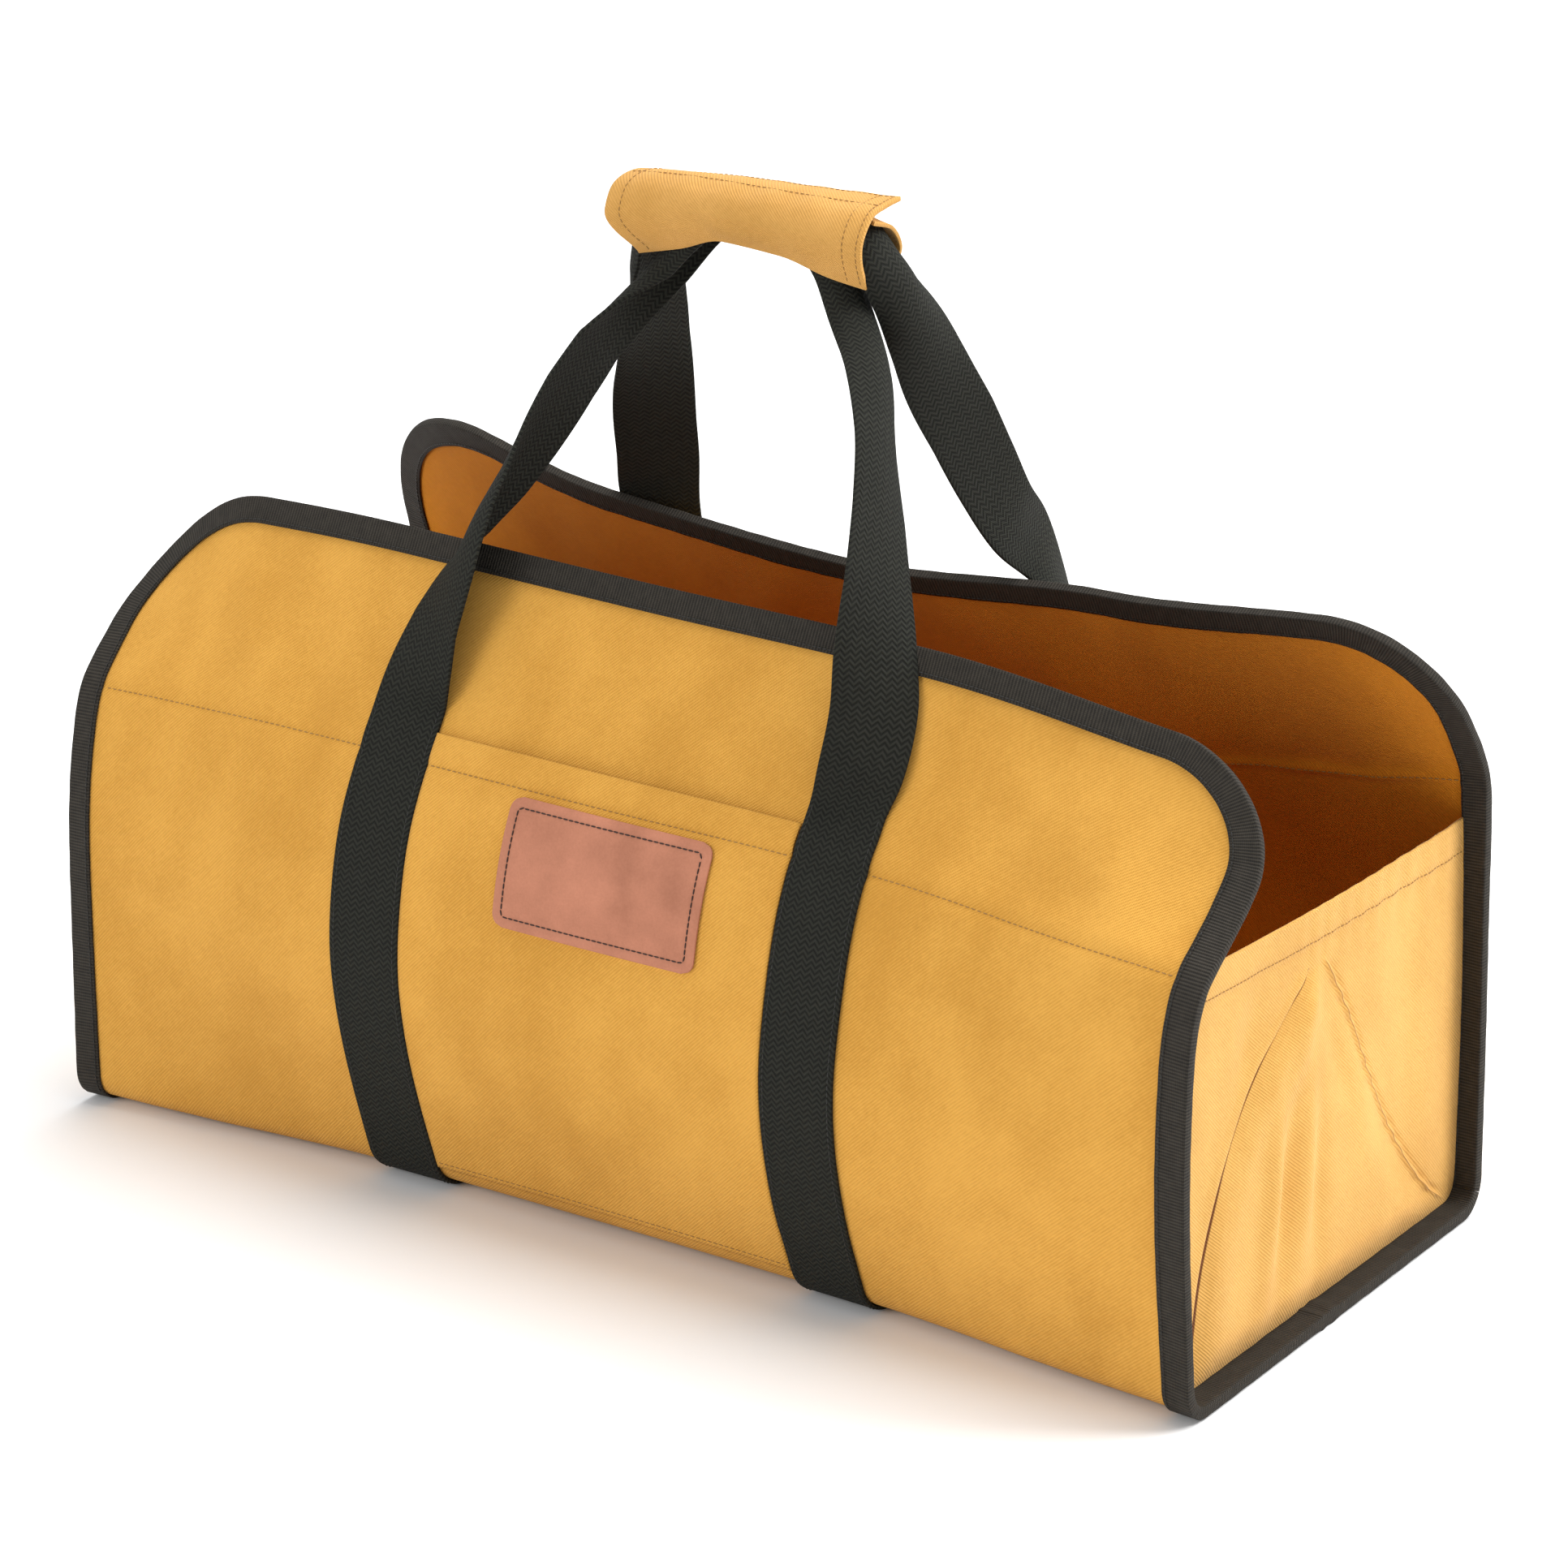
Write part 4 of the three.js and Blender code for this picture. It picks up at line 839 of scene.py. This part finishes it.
def grip_point(table, station, share):
    """A point of a sheet: the section's points at this station, joined by a curve through them
    at even shares. The left lower corner is cut round and the free edge's right tip flares."""
    columns = smooth_curve(table[:, 0], table[:, 1:], station).reshape(-1, 2, station.size)
    marks, fine = np.linspace(0, 1, len(columns)), np.linspace(0, 1, 121)
    y, z = (np.stack([np.interp(share, fine, line) for line in spline(columns[:, k], marks, fine).T], -1)
            for k in (0, 1))
    left = CORNER_ROUND * (1 - smoothstep(share / CORNER_SHARE)) ** 1.3
    left = left + TOP_ROUND * smoothstep(share, 0.45, 1.0) ** 1.6
    right = TIP_FLARE * share ** 2 - GRIP_SHORT
    along = (station + 1) / 2
    x = GRIP_CENTRE_X - GRIP_LENGTH / 2 + left[:, None] * (1 - along)
    x = x + (GRIP_LENGTH + right[:, None]) * along
    return np.stack([x, y * MM, ARCH_CENTRE + z * MM], -1) + SHIFT


def grip_sheet(name, table, wall):
    """Grid of a sheet over its length and its section, thickened inwards."""
    station, share = np.linspace(-1, 1, 110), np.linspace(0, 1, 70)
    points = grip_point(table, station, share)
    ripple = 0.25 * MM * np.sin(station * 19 + 1) * np.sin(share * 7)[:, None]
    points[..., 2] += ripple
    uv = np.stack(np.broadcast_arrays(station * GRIP_LENGTH / 2, share[:, None] * FRONT_SHEET_WIDTH), -1)
    points, uv = facing(points, uv, np.array([GRIP_CENTRE_X, 0, ARCH_CENTRE]) + SHIFT)
    piece = grid_mesh(name, points, uv)
    thicken(piece, wall, -1, 0.5 * MM)
    return piece


grip_front = grip_sheet("grip_front_sheet", FRONT_SHEET, GRIP_WALL)
grip_back = grip_sheet("grip_back_sheet", BACK_SHEET, BACK_SHEET_WALL)
# The grip takes the pale canvas, whose paler colour is painted sheen haze.
for sheet, width in ((grip_front, FRONT_SHEET_WIDTH), (grip_back, BACK_SHEET_WIDTH)):
    dress(sheet, PALE_CANVAS_PAINTED_SHEEN, "canvas", "grip_wrap")

# %% [markdown]
# The pocket lies on the front between the straps. Its top is turned down twice, so the hem is
# thicker, and the middle of the mouth stands a little open.

# %% Pocket
POCKET_WALL = 1.2 * MM
POCKET_BOTTOM = 128 * MM
POCKET_TOP = 344 * MM
POCKET_HEM = 14 * MM


def pocket_out(x, girth):
    """How far the pocket's inner face lies out: sewn down at the sides, easier at the mouth."""
    reach = STRAP_CENTRE - STRAP_WIDTH / 2
    middle = np.clip(1 - (x / reach) ** 2, 0, 1)
    mouth = smoothstep((-girth - 250 * MM) / (POCKET_TOP - 250 * MM))
    return CANVAS_WALL + SEWN_GAP + middle * mouth * 2.2 * MM


def pocket():
    """Grid over x and girth between the straps, with a step in thickness at the hem."""
    reach = STRAP_CENTRE - STRAP_WIDTH / 2 - SEWN_GAP
    x = np.linspace(-reach, reach, 90)
    hem = POCKET_TOP - POCKET_HEM
    girth = -np.concatenate([np.linspace(POCKET_BOTTOM, hem - 0.6 * MM, 110),
                             np.linspace(hem, POCKET_TOP, 16)])
    girth, x = np.meshgrid(girth, x, indexing="ij")
    thick = POCKET_WALL + 0.6 * MM * smoothstep((-girth - hem) / (1.2 * MM), -0.5, 0.5)
    points = cloth(x, girth, pocket_out(x, girth) + thick)
    points, uv = facing(points, np.stack([x, girth], -1), BAG_MIDDLE)
    piece = grid_mesh("pocket_canvas", points, uv)
    thicken(piece, POCKET_WALL, -1)
    dress(piece, CANVAS, "canvas", "pocket")


pocket()

# %% [markdown]
# The patch is a plain piece of leather with round corners. A superellipse would be too soft
# for it, so its outline is a rectangle with quarter circles. Its grid has straight rows, and
# each row is as long as the outline lets it be.

# %% Leather patch
PATCH_WIDTH = 107 * MM
PATCH_HEIGHT = 57 * MM
PATCH_WALL = 1.6 * MM
PATCH_RADIUS = 6 * MM
PATCH_CENTRE_X = 8 * MM
PATCH_BOTTOM = 269 * MM
PATCH_SEAM = 4.8 * MM


def rounded_outline(width, height, radius, count):
    """A rectangle with quarter circles for corners, at even steps round it, from the right."""
    corner = np.linspace(0, math.pi / 2, 12)
    points = []
    for quarter in range(4):
        sx, sy = [(1, 1), (-1, 1), (-1, -1), (1, -1)][quarter]
        angle = corner + quarter * math.pi / 2
        points.append(np.stack([sx * (width / 2 - radius) + radius * np.cos(angle),
                                sy * (height / 2 - radius) + radius * np.sin(angle)], -1))
    ring = np.vstack(points + [points[0][:1]])
    marks = run_length(ring)
    at = np.linspace(0, marks[-1], count, endpoint=False)
    return np.stack([np.interp(at, marks, ring[:, 0]), np.interp(at, marks, ring[:, 1])], -1)


def patch_place(flat, raised):
    """Carries flat patch points onto the pocket, and out from it."""
    x = PATCH_CENTRE_X + flat[..., 0]
    girth = -(PATCH_BOTTOM + PATCH_HEIGHT / 2 + flat[..., 1])
    return cloth(x, girth, pocket_out(x, girth) + POCKET_WALL + SEWN_GAP + raised)


def inset_from_edge(flat):
    """Distance in from the patch's outline, by the formula for a rectangle with round corners."""
    past = np.abs(flat) - np.array([PATCH_WIDTH, PATCH_HEIGHT]) / 2 + PATCH_RADIUS
    outside = np.hypot(*np.moveaxis(np.maximum(past, 0), -1, 0))
    return PATCH_RADIUS - outside - np.minimum(past.max(axis=-1), 0)


def leather_patch():
    """A grid whose rows are as long as the round corners let them be. Its edge is pressed thin
    and a shallow channel runs under the stitches."""
    across = np.linspace(-1, 1, 130)
    rows = np.concatenate([np.linspace(0, 0.22, 10)[:-1], np.linspace(0.22, 0.78, 50),
                           np.linspace(0.78, 1, 10)[1:]])
    y = (rows - 0.5) * PATCH_HEIGHT
    short = np.maximum(np.abs(y) - PATCH_HEIGHT / 2 + PATCH_RADIUS, 0)
    half = PATCH_WIDTH / 2 - PATCH_RADIUS + np.sqrt(PATCH_RADIUS ** 2 - short ** 2)
    flat = np.stack(np.broadcast_arrays(across * half[:, None], y[:, None]), -1)
    inset = inset_from_edge(flat)
    channel = -0.35 * MM * np.exp(-((inset - PATCH_SEAM) / (0.9 * MM)) ** 2)
    pressed = -0.35 * MM * (1 - smoothstep(inset, 0, 2.2 * MM))
    points = patch_place(flat, PATCH_WALL + channel + pressed)
    points, uv = facing(points, flat, BAG_MIDDLE)
    piece = grid_mesh("patch_leather", points, uv)
    thicken(piece, PATCH_WALL - 0.4 * MM, -1, 0.3 * MM)
    dress(piece, LEATHER, "leather", "leather_patch")


leather_patch()

# %% [markdown]
# The end wall hangs between front and back. A triangular pleat lets it fold inward. Its front
# crease is a folded lip that lies over a groove, its back crease is a fine sewn ridge with
# puckers, and soft folds hang inside the triangle. The top is a turned hem, drawn up a little
# by its stitches. Each of these is one term of a relief that is added to the flat wall. A second
# UV layer holds each point's distances from the creases, and the finish paints shade along them
# by it: a shadow line in the groove beside the lip and a thin shaded line on the ridge.

# %% Gussets
GUSSET_HEM = 17 * MM
GUSSET_FOOT = 118.9 * MM
# rise from foot to peak, then the two creases as shares of the base's half width
CREASES = np.array([[0, -0.9, 0.93], [0.12, -0.87, 0.72], [0.3, -0.83, 0.52], [0.55, -0.71, 0.3],
                    [0.8, -0.46, 0.14], [1, -0.11, -0.02]])
PEAK_SHARE = 0.89
# Soft folds of the wall. Each row is a long low ridge or dent: y, z, lean in degrees from
# upright, half length, half width, height, all in mm.
WALL_FOLDS = np.array([
    [-52, 72, 6, 42, 7, 2.4],
    [-38, 66, 6, 40, 6, -1.8],
    [-22, 76, 4, 44, 8, 2.2],
    [-8, 60, 0, 40, 7, -1.4],
    [30, 96, -30, 40, 14, 1.6],
    [8, 118, -24, 34, 9, -1.8],
    [-26, 138, 28, 26, 8, 1.6],
    [-66, 152, 20, 26, 10, -1.4],
    [78, 130, -12, 44, 16, -1.2],
    [96, 70, -8, 46, 14, 0.9],
    [-96, 60, 10, 40, 8, 1.0],
])
PUCKER_PITCH = 15 * MM
HEM_SAG = 2.5 * MM
PLATE = HALF_LENGTH - TAPE_COVER - SEWN_GAP
# How far past the front crease the middle of the painted shadow line lies, in the groove under the lip.
SHADOW_LINE_PAST = 3.2 * MM
# Cross-section of the folded lip, in mm: distance past the front crease, how far it stands out,
# and how far it is pushed over towards the back. The lip hangs over the groove behind it, and the
# end wall's finish paints a shadow line in that groove.
LIP = np.array([
    [-16, 0, 0], [-7, 0.3, 0.2], [-3, 0.8, 0.7], [-1.2, 1.0, 1.3], [0, 0.9, 1.9], [0.5, 0.5, 2.1],
    [0.9, 0, 1.4], [1.4, -0.7, 0.6], [2.3, -0.9, 0.4], [3.6, -0.8, 0.3], [7, -0.4, 0.2], [12, 0, 0],
])


def bell(distance, width):
    """A smooth hump of height 1, falling off over a width on both sides."""
    return np.exp(-(distance / width) ** 2)


def crease_at(rise, column):
    """Place of a crease across the wall at a share of the fold's height."""
    curve = smooth_curve(CREASES[:, 0], CREASES[:, column:column + 1], rise.ravel())
    return curve.reshape(rise.shape) * END_BASE


def wall_relief(y, z, rise, hem_line):
    """How far the wall stands out at a place and is pushed to the back: creases, soft folds, hem
    and puckers. Also the place's distances from the painted shade lines along the two creases."""
    to_front = y - crease_at(rise, 1)
    to_back = y - crease_at(rise, 2)
    fade = smoothstep(rise, 0.0, 0.12) * (1 - smoothstep(rise, 0.96, 1.0))
    open_lip = fade * (0.45 + 0.55 * smoothstep(rise, 0.1, 0.9))
    lip = np.interp(to_front / MM, LIP[:, 0], LIP[:, 1])
    pushed = np.interp(to_front / MM, LIP[:, 0], LIP[:, 2])
    swell = 4.4 * smoothstep(to_front, 1 * MM, 26 * MM) * (1 - smoothstep(to_back, -30 * MM, 4 * MM))
    seam = 1.25 * bell(to_back, 1.7 * MM) - 0.8 * bell(to_back - 4 * MM, 2.2 * MM)
    pucker = 0.55 * np.sin(z / MM / 1.7) * bell(to_back, 5 * MM) * np.sin(z / MM / 13)
    relief = open_lip * lip + fade * (swell + seam + pucker)
    for at_y, at_z, lean, long, wide, rise_mm in WALL_FOLDS:
        c, s = math.cos(math.radians(lean)), math.sin(math.radians(lean))
        u, v = y / MM - at_y, z / MM - at_z
        relief = relief + 1.7 * rise_mm * bell(u * s + v * c, long) * bell(u * c - v * s, wide)
    below = hem_line - z
    drawn = 0.5 * np.sin(y / PUCKER_PITCH * 2 * math.pi + 1.7 * np.sin(y / MM / 31))
    relief = relief + drawn * (0.55 + 0.45 * np.sin(y / MM / 43)) * bell(below - 15 * MM, 17 * MM)
    turned = 1 - smoothstep(below, GUSSET_HEM - 0.6 * MM, GUSSET_HEM + 0.6 * MM)
    dimple = -0.55 * bell(below - GUSSET_HEM + 1.5 * MM, 1.6 * MM)
    # Distances for the painted shade lines: the shadow line lies past the front crease, and both lines thin
    # out where the fold fades.
    taper = np.maximum(0.6 * fade + 0.4 * open_lip, 0.3)
    near = np.stack([to_front / taper - SHADOW_LINE_PAST, to_back / np.maximum(fade, 0.05)], -1)
    near = np.where((rise > 0.995)[..., None], 1.0, near)
    return (relief + 1.0 * turned + dimple) * MM, open_lip * pushed * MM, near


def wall_edges(end, height):
    """The wall's two sewn edges at a height, and how high its foot and the pleat's peak lie."""
    under = -SEWN_GAP - GUSSET_WALL
    front = cloth(end * PLATE, -(GUSSET_FOOT + height * (GUSSET_TOP[-1] - GUSSET_FOOT)), under)
    back = cloth(end * PLATE, GUSSET_FOOT + height * (GUSSET_TOP[1] - GUSSET_FOOT), under)
    low = cloth(end * PLATE, -GUSSET_FOOT, 0.0)[2]
    peak = cloth(end * PLATE, -PEAK_SHARE * GUSSET_TOP[-1], 0.0)[2]
    return front, back, low, peak


def wall_point(end, height, across, lift_out=0.0):
    """A point of the end wall, with its distances from the creases. height runs from the foot to
    the hem's edge and across from the front to the back; the wall is straight between its two
    sewn edges, plus its relief."""
    front, back, low, peak = wall_edges(end, height)
    points = front * (1 - across[..., None]) + back * across[..., None]
    points[..., 2] -= HEM_SAG * np.sin(math.pi * across) * smoothstep(height, 0.6, 1.0)
    rise = np.clip((points[..., 2] - low) / (peak - low), 0, 1)
    hem_front = cloth(end * PLATE, -GUSSET_TOP[-1], 0.0)[2]
    hem_back = cloth(end * PLATE, GUSSET_TOP[1], 0.0)[2]
    hem_line = hem_front + (hem_back - hem_front) * across - HEM_SAG * np.sin(math.pi * across)
    held = smoothstep(np.minimum(across, 1 - across), 0.0, 0.09) * smoothstep(height, 0.0, 0.06)
    out, pushed, near = wall_relief(points[..., 1] - SHIFT[1], points[..., 2], rise, hem_line)
    points[..., 0] += end * (out * held + GUSSET_WALL + lift_out)
    points[..., 1] += pushed * held
    return points, near


def wall_columns(end, height, count):
    """Shares across the wall at which the grid's columns run: they follow the two creases up, and
    crowd together beside them. Each crease's share is found from its place at that height."""
    front, back, low, peak = wall_edges(end, height)
    front, back = front - SHIFT, back - SHIFT
    shares = []
    for column, guess in ((1, 0.2), (2, 0.8)):
        share = 0 * height + guess
        for _ in range(4):
            z = front[:, 2] * (1 - share) + back[:, 2] * share
            y = crease_at(np.clip((z - low) / (peak - low), 0, 1), column)
            share = (y - front[:, 1]) / (back[:, 1] - front[:, 1])
        shares.append(np.clip(share, 0.03, 0.97))
    a, b = shares
    wide = back[:, 1] - front[:, 1]
    zone = np.minimum.reduce([13 * MM / wide, 0.45 * (b - a), 0.6 * a, 0.6 * (1 - b)])
    stops = np.stack([0 * a, a - zone, a - 0.1 * zone, a + 0.3 * zone, a + zone,
                      b - 0.6 * zone, b + 0.6 * zone, 1 + 0 * b])
    marks = np.array([0, 0.13, 0.22, 0.37, 0.45, 0.70, 0.86, 1])
    at = np.linspace(0, 1, count)
    return np.stack([np.interp(at, marks, row) for row in stops.T])


def gusset(end, name, node):
    """Grid over height and width, with a sewn margin turned outwards at the foot and sides."""
    height = np.linspace(0, 1, 170)
    across = wall_columns(end, height, 230)
    points, near = wall_point(end, np.broadcast_to(height[:, None], across.shape), across)
    near = np.pad(near, ((3, 0), (3, 3), (0, 0)), mode="edge")
    margin = end * (TAPE_COVER + SEWN_GAP - CLOTH_EDGE)
    turned = np.array([0.15, 0.55, 1.0])[:, None] * margin
    side = [points[:, :1].repeat(3, axis=1), points[:, -1:].repeat(3, axis=1)]
    side[0][..., 0] += turned[::-1, 0] - end * GUSSET_WALL
    side[1][..., 0] += turned[:, 0] - end * GUSSET_WALL
    points = np.concatenate([side[0], points, side[1]], axis=1)
    sill = points[:1].repeat(3, axis=0)
    sill[:, 3:-3, 0] += turned[::-1] - end * GUSSET_WALL
    sill[..., 2] -= np.array([1.2, 0.8, 0.4])[:, None] * MM
    points = np.concatenate([sill, points], axis=0)
    middle = np.array([0, 0, 0.1])
    near = facing(points, near, middle)[1]
    piece = grid_mesh(name, *facing(points, points[..., 1:], middle))
    corner = np.zeros(len(piece.data.loops), int)
    piece.data.loops.foreach_get("vertex_index", corner)
    # The finish reads this layer to paint the shade lines along the creases.
    add_uv(piece.data, "crease", near.reshape(-1, 2)[corner])
    thicken(piece, GUSSET_WALL, -1)
    dress(piece, END_CANVAS_PAINTED_SHEEN_AND_SHADE, "canvas", node)
    paint_inside_shade(piece)


gusset(1, "end_canvas_right", "gusset_right")
gusset(-1, "end_canvas_left", "gusset_left")

# %% [markdown]
# Seams are what make cloth look sewn. A stitch is a short spindle of thread lying on the
# cloth, and a row repeats it at an even pitch along a line. All the stitches of one thread are
# one mesh, made by adding a small template to every place at once.

# %% Stitches
STITCH_SIDES = 5
STITCH_PROFILE = np.array([[-1, 0.3], [-0.5, 0.95], [0.5, 0.95], [1, 0.3]])


def row_on(x, girth, out, pitch):
    """Even places along a line on the body's cloth, with the direction along it and outward."""
    x, girth, out = np.broadcast_arrays(x, girth, out)
    return even_row(cloth(x, girth, out), lift(x, girth, out), pitch)


def even_row(points, outward, pitch):
    """Resamples a line of points at an even pitch."""
    marks = run_length(points)
    at = np.arange(pitch / 2, marks[-1], pitch)
    place, normal, ahead, behind = (
        np.stack([np.interp(at + past * pitch, marks, values[:, k]) for k in range(3)], -1)
        for values, past in ((points, 0), (outward, 0), (points, 0.1), (points, -0.1)))
    return place, unit(ahead - behind), unit(normal)


def sew(name, rows, material, slot, length, width):
    """One mesh of stitches: rings of the spindle's profile at every place, joined by quads."""
    place, along, normal = (np.concatenate(part) for part in zip(*rows))
    across = unit(np.cross(along, normal))
    turn = np.linspace(0, 2 * math.pi, STITCH_SIDES, endpoint=False)
    reach = STITCH_PROFILE[:, 0] * length / 2
    thick = STITCH_PROFILE[:, 1] * width / 2
    c, s = np.cos(turn)[:, None], np.sin(turn)[:, None]
    round_about = c * normal[:, None, None] + s * across[:, None, None]
    points = (place[:, None, None] + reach[:, None, None] * along[:, None, None]
              + thick[:, None, None] * round_about)
    count, rings, sides = len(place), len(reach), STITCH_SIDES
    i, j = np.meshgrid(np.arange(rings - 1), np.arange(sides), indexing="ij")
    n = (j + 1) % sides
    quads = np.stack([i * sides + j, (i + 1) * sides + j, (i + 1) * sides + n, i * sides + n], -1)
    start = (np.arange(count) * rings * sides)[:, None, None]
    caps = np.stack([np.arange(sides), np.arange(sides)[::-1] + (rings - 1) * sides])
    faces = (start + quads.reshape(1, -1, 4)).reshape(-1, 4).tolist()
    faces += (start + caps).reshape(-1, sides).tolist()
    mesh = bpy.data.meshes.new(name)
    mesh.from_pydata(points.reshape(-1, 3), [], faces)
    mesh.shade_smooth()
    print(name, count, "stitches")
    dress(face_out(add_object(name, mesh)), material, slot)


STITCH_PITCH = 3.1 * MM
on_canvas = CANVAS_WALL + 0.1 * MM
strap_gap = STRAP_CENTRE + STRAP_WIDTH / 2 + 1 * MM
reach_x = HALF_LENGTH - TAPE_COVER - 2 * MM
line = np.linspace(0, 1, 400)


def span(a, b):
    """A straight run of places from a to b."""
    return a + (b - a) * line


between = STRAP_CENTRE - STRAP_WIDTH / 2 - 1 * MM
seam_rows = []
for side, runs in ((-1, ((-reach_x, -strap_gap), (strap_gap, reach_x))),
                   (1, ((-reach_x, -strap_gap), (-between, between), (strap_gap, reach_x)))):
    seam_rows += [row_on(span(a, b), side * SEAM_GIRTH, on_canvas, STITCH_PITCH) for a, b in runs]
    seam_rows.append(row_on(span(-reach_x, reach_x), side * SEAM_GIRTH, -0.1 * MM, STITCH_PITCH))
pocket_reach = STRAP_CENTRE - STRAP_WIDTH / 2 - 1.5 * MM
pocket_x = span(-pocket_reach, pocket_reach)


def on_pocket(girth):
    """A row across the pocket at a girth."""
    out = pocket_out(pocket_x, -girth) + POCKET_WALL + 0.1 * MM
    return row_on(pocket_x, -girth, out, STITCH_PITCH)


seam_rows += [on_pocket(POCKET_TOP - POCKET_HEM - 0.8 * MM), on_pocket(POCKET_BOTTOM + 3 * MM)]


def on_wall(end, height, across):
    """A row on an end wall."""
    points, _ = wall_point(end, height, across, 0.1 * MM)
    return even_row(points, np.broadcast_to([end, 0, 0], points.shape), STITCH_PITCH)


for end in (1, -1):
    seam_rows.append(on_wall(end, 1 - GUSSET_HEM / (205 * MM) + 0 * line, span(0.01, 0.99)))
sew("thread_gold", seam_rows, GOLD_THREAD, "canvas", 2.3 * MM, 0.62 * MM)


def on_grip(table, station, share):
    """A row on the grip's front sheet along a station or a share."""
    across = grip_point(table, np.atleast_1d(station), np.atleast_1d(share)).reshape(-1, 3)
    outward = unit((across - SHIFT - np.array([0, 0, ARCH_CENTRE])) * [0, 1, 1])
    return even_row(across + outward * 0.15 * MM, outward, 2.8 * MM)


grip_rows = [on_grip(FRONT_SHEET, np.linspace(-0.97, 0.97, 200), share) for share in (0.96, 0.74)]
grip_rows += [on_grip(FRONT_SHEET, station, np.linspace(0.03, 0.97, 120)) for station in (-0.88, 0.86, 0.965)]
sew("thread_grip", grip_rows, GOLD_THREAD, "canvas", 2.0 * MM, 0.45 * MM)

# %% Tape, strap and patch stitches
TAPE_STITCH = 2.6 * MM
dark_rows = []
for side in (-1, 1):
    path = edge_path(side)
    inset = TAPE_COVER - 1.6 * MM
    x, girth = path[:, 0] + path[:, 2] * inset, path[:, 1] + path[:, 3] * inset
    cover = gusset_cover(girth)
    dark_rows.append(row_on(x, girth, CANVAS_WALL + TAPE_GAP + TAPE_WALL + 0.45 * MM, TAPE_STITCH))
    dark_rows.append(row_on(x, girth, -TAPE_GAP - TAPE_WALL - cover - 0.45 * MM, TAPE_STITCH))
web_out = CANVAS_WALL + SEWN_GAP + STRAP_WALL + 0.05 * MM
for side in (-1, 1):
    for centre in (-STRAP_CENTRE, STRAP_CENTRE):
        for edge in (-1, 1):
            x = centre + edge * (STRAP_WIDTH / 2 - 2.4 * MM)
            dark_rows.append(row_on(x, side * span(2 * MM, STRAP_SEWN_GIRTH), web_out, STITCH_PITCH))
sew("thread_black", dark_rows, BLACK_THREAD, "webbing", 2.2 * MM, 0.6 * MM)

ring = rounded_outline(PATCH_WIDTH - 2 * PATCH_SEAM, PATCH_HEIGHT - 2 * PATCH_SEAM, 2.5 * MM, 300)
ring = np.vstack([ring, ring[:1]])
patch_line = patch_place(ring, 1.45 * MM + 0 * ring[:, 0])
patch_up = unit(patch_place(ring, 2.45 * MM + 0 * ring[:, 0]) - patch_line)
sew("thread_brown", [even_row(patch_line, patch_up, 3.0 * MM)], BROWN_THREAD, "leather", 2.7 * MM, 0.8 * MM)

# %% [markdown]
# The studio is a pale floor, a pale surround and three soft lamps: the key stands to the right
# and behind, where it brightens the picture's end wall, a weak one stands in front, and a very
# broad one hangs above.

# %% Floor and light
FLOOR_REACH = 30.0
SURROUND = 0.55
# name, place in metres, width in metres, power in watts
LAMPS = [("key", (1.9, 1.3, 1.9), 1.5, 66), ("front", (-1.0, -2.8, 1.3), 1.6, 34),
         ("top", (0.2, 0.9, 3.4), 3.6, 130)]


def studio():
    """A large floor at the surface that the carrier stands on, three area lamps and the surround."""
    mesh = bpy.data.meshes.new("floor")
    corners = [(x * FLOOR_REACH, y * FLOOR_REACH, 0) for x, y in ((-1, -1), (1, -1), (1, 1), (-1, 1))]
    mesh.from_pydata(corners, [], [(0, 1, 2, 3)])
    floor = add_object("floor", mesh)
    pale = Finish("floor_pale", roughness=0.9, specular_ior_level=0.1)
    pale.shader.inputs["Base Color"].default_value = (0.92, 0.92, 0.92, 1)
    floor.data.materials.append(pale.material)
    world = bpy.data.worlds.new("surround")
    world.use_nodes = True
    background = world.node_tree.nodes["Background"]
    background.inputs[0].default_value = (1, 1, 1, 1)
    background.inputs[1].default_value = SURROUND
    bpy.context.scene.world = world
    for name, place, size, power in LAMPS:
        light = bpy.data.lights.new(name, "AREA")
        light.shape, light.size, light.energy = "DISK", size, power
        lamp = add_object(name, light)
        lamp.location = place
        aim = np.array([0, 0, 0.2]) - np.array(place)
        lamp.rotation_euler = Vector(aim).to_track_quat("-Z", "Y").to_euler()
    bpy.context.scene.view_settings.view_transform = "Standard"


studio()
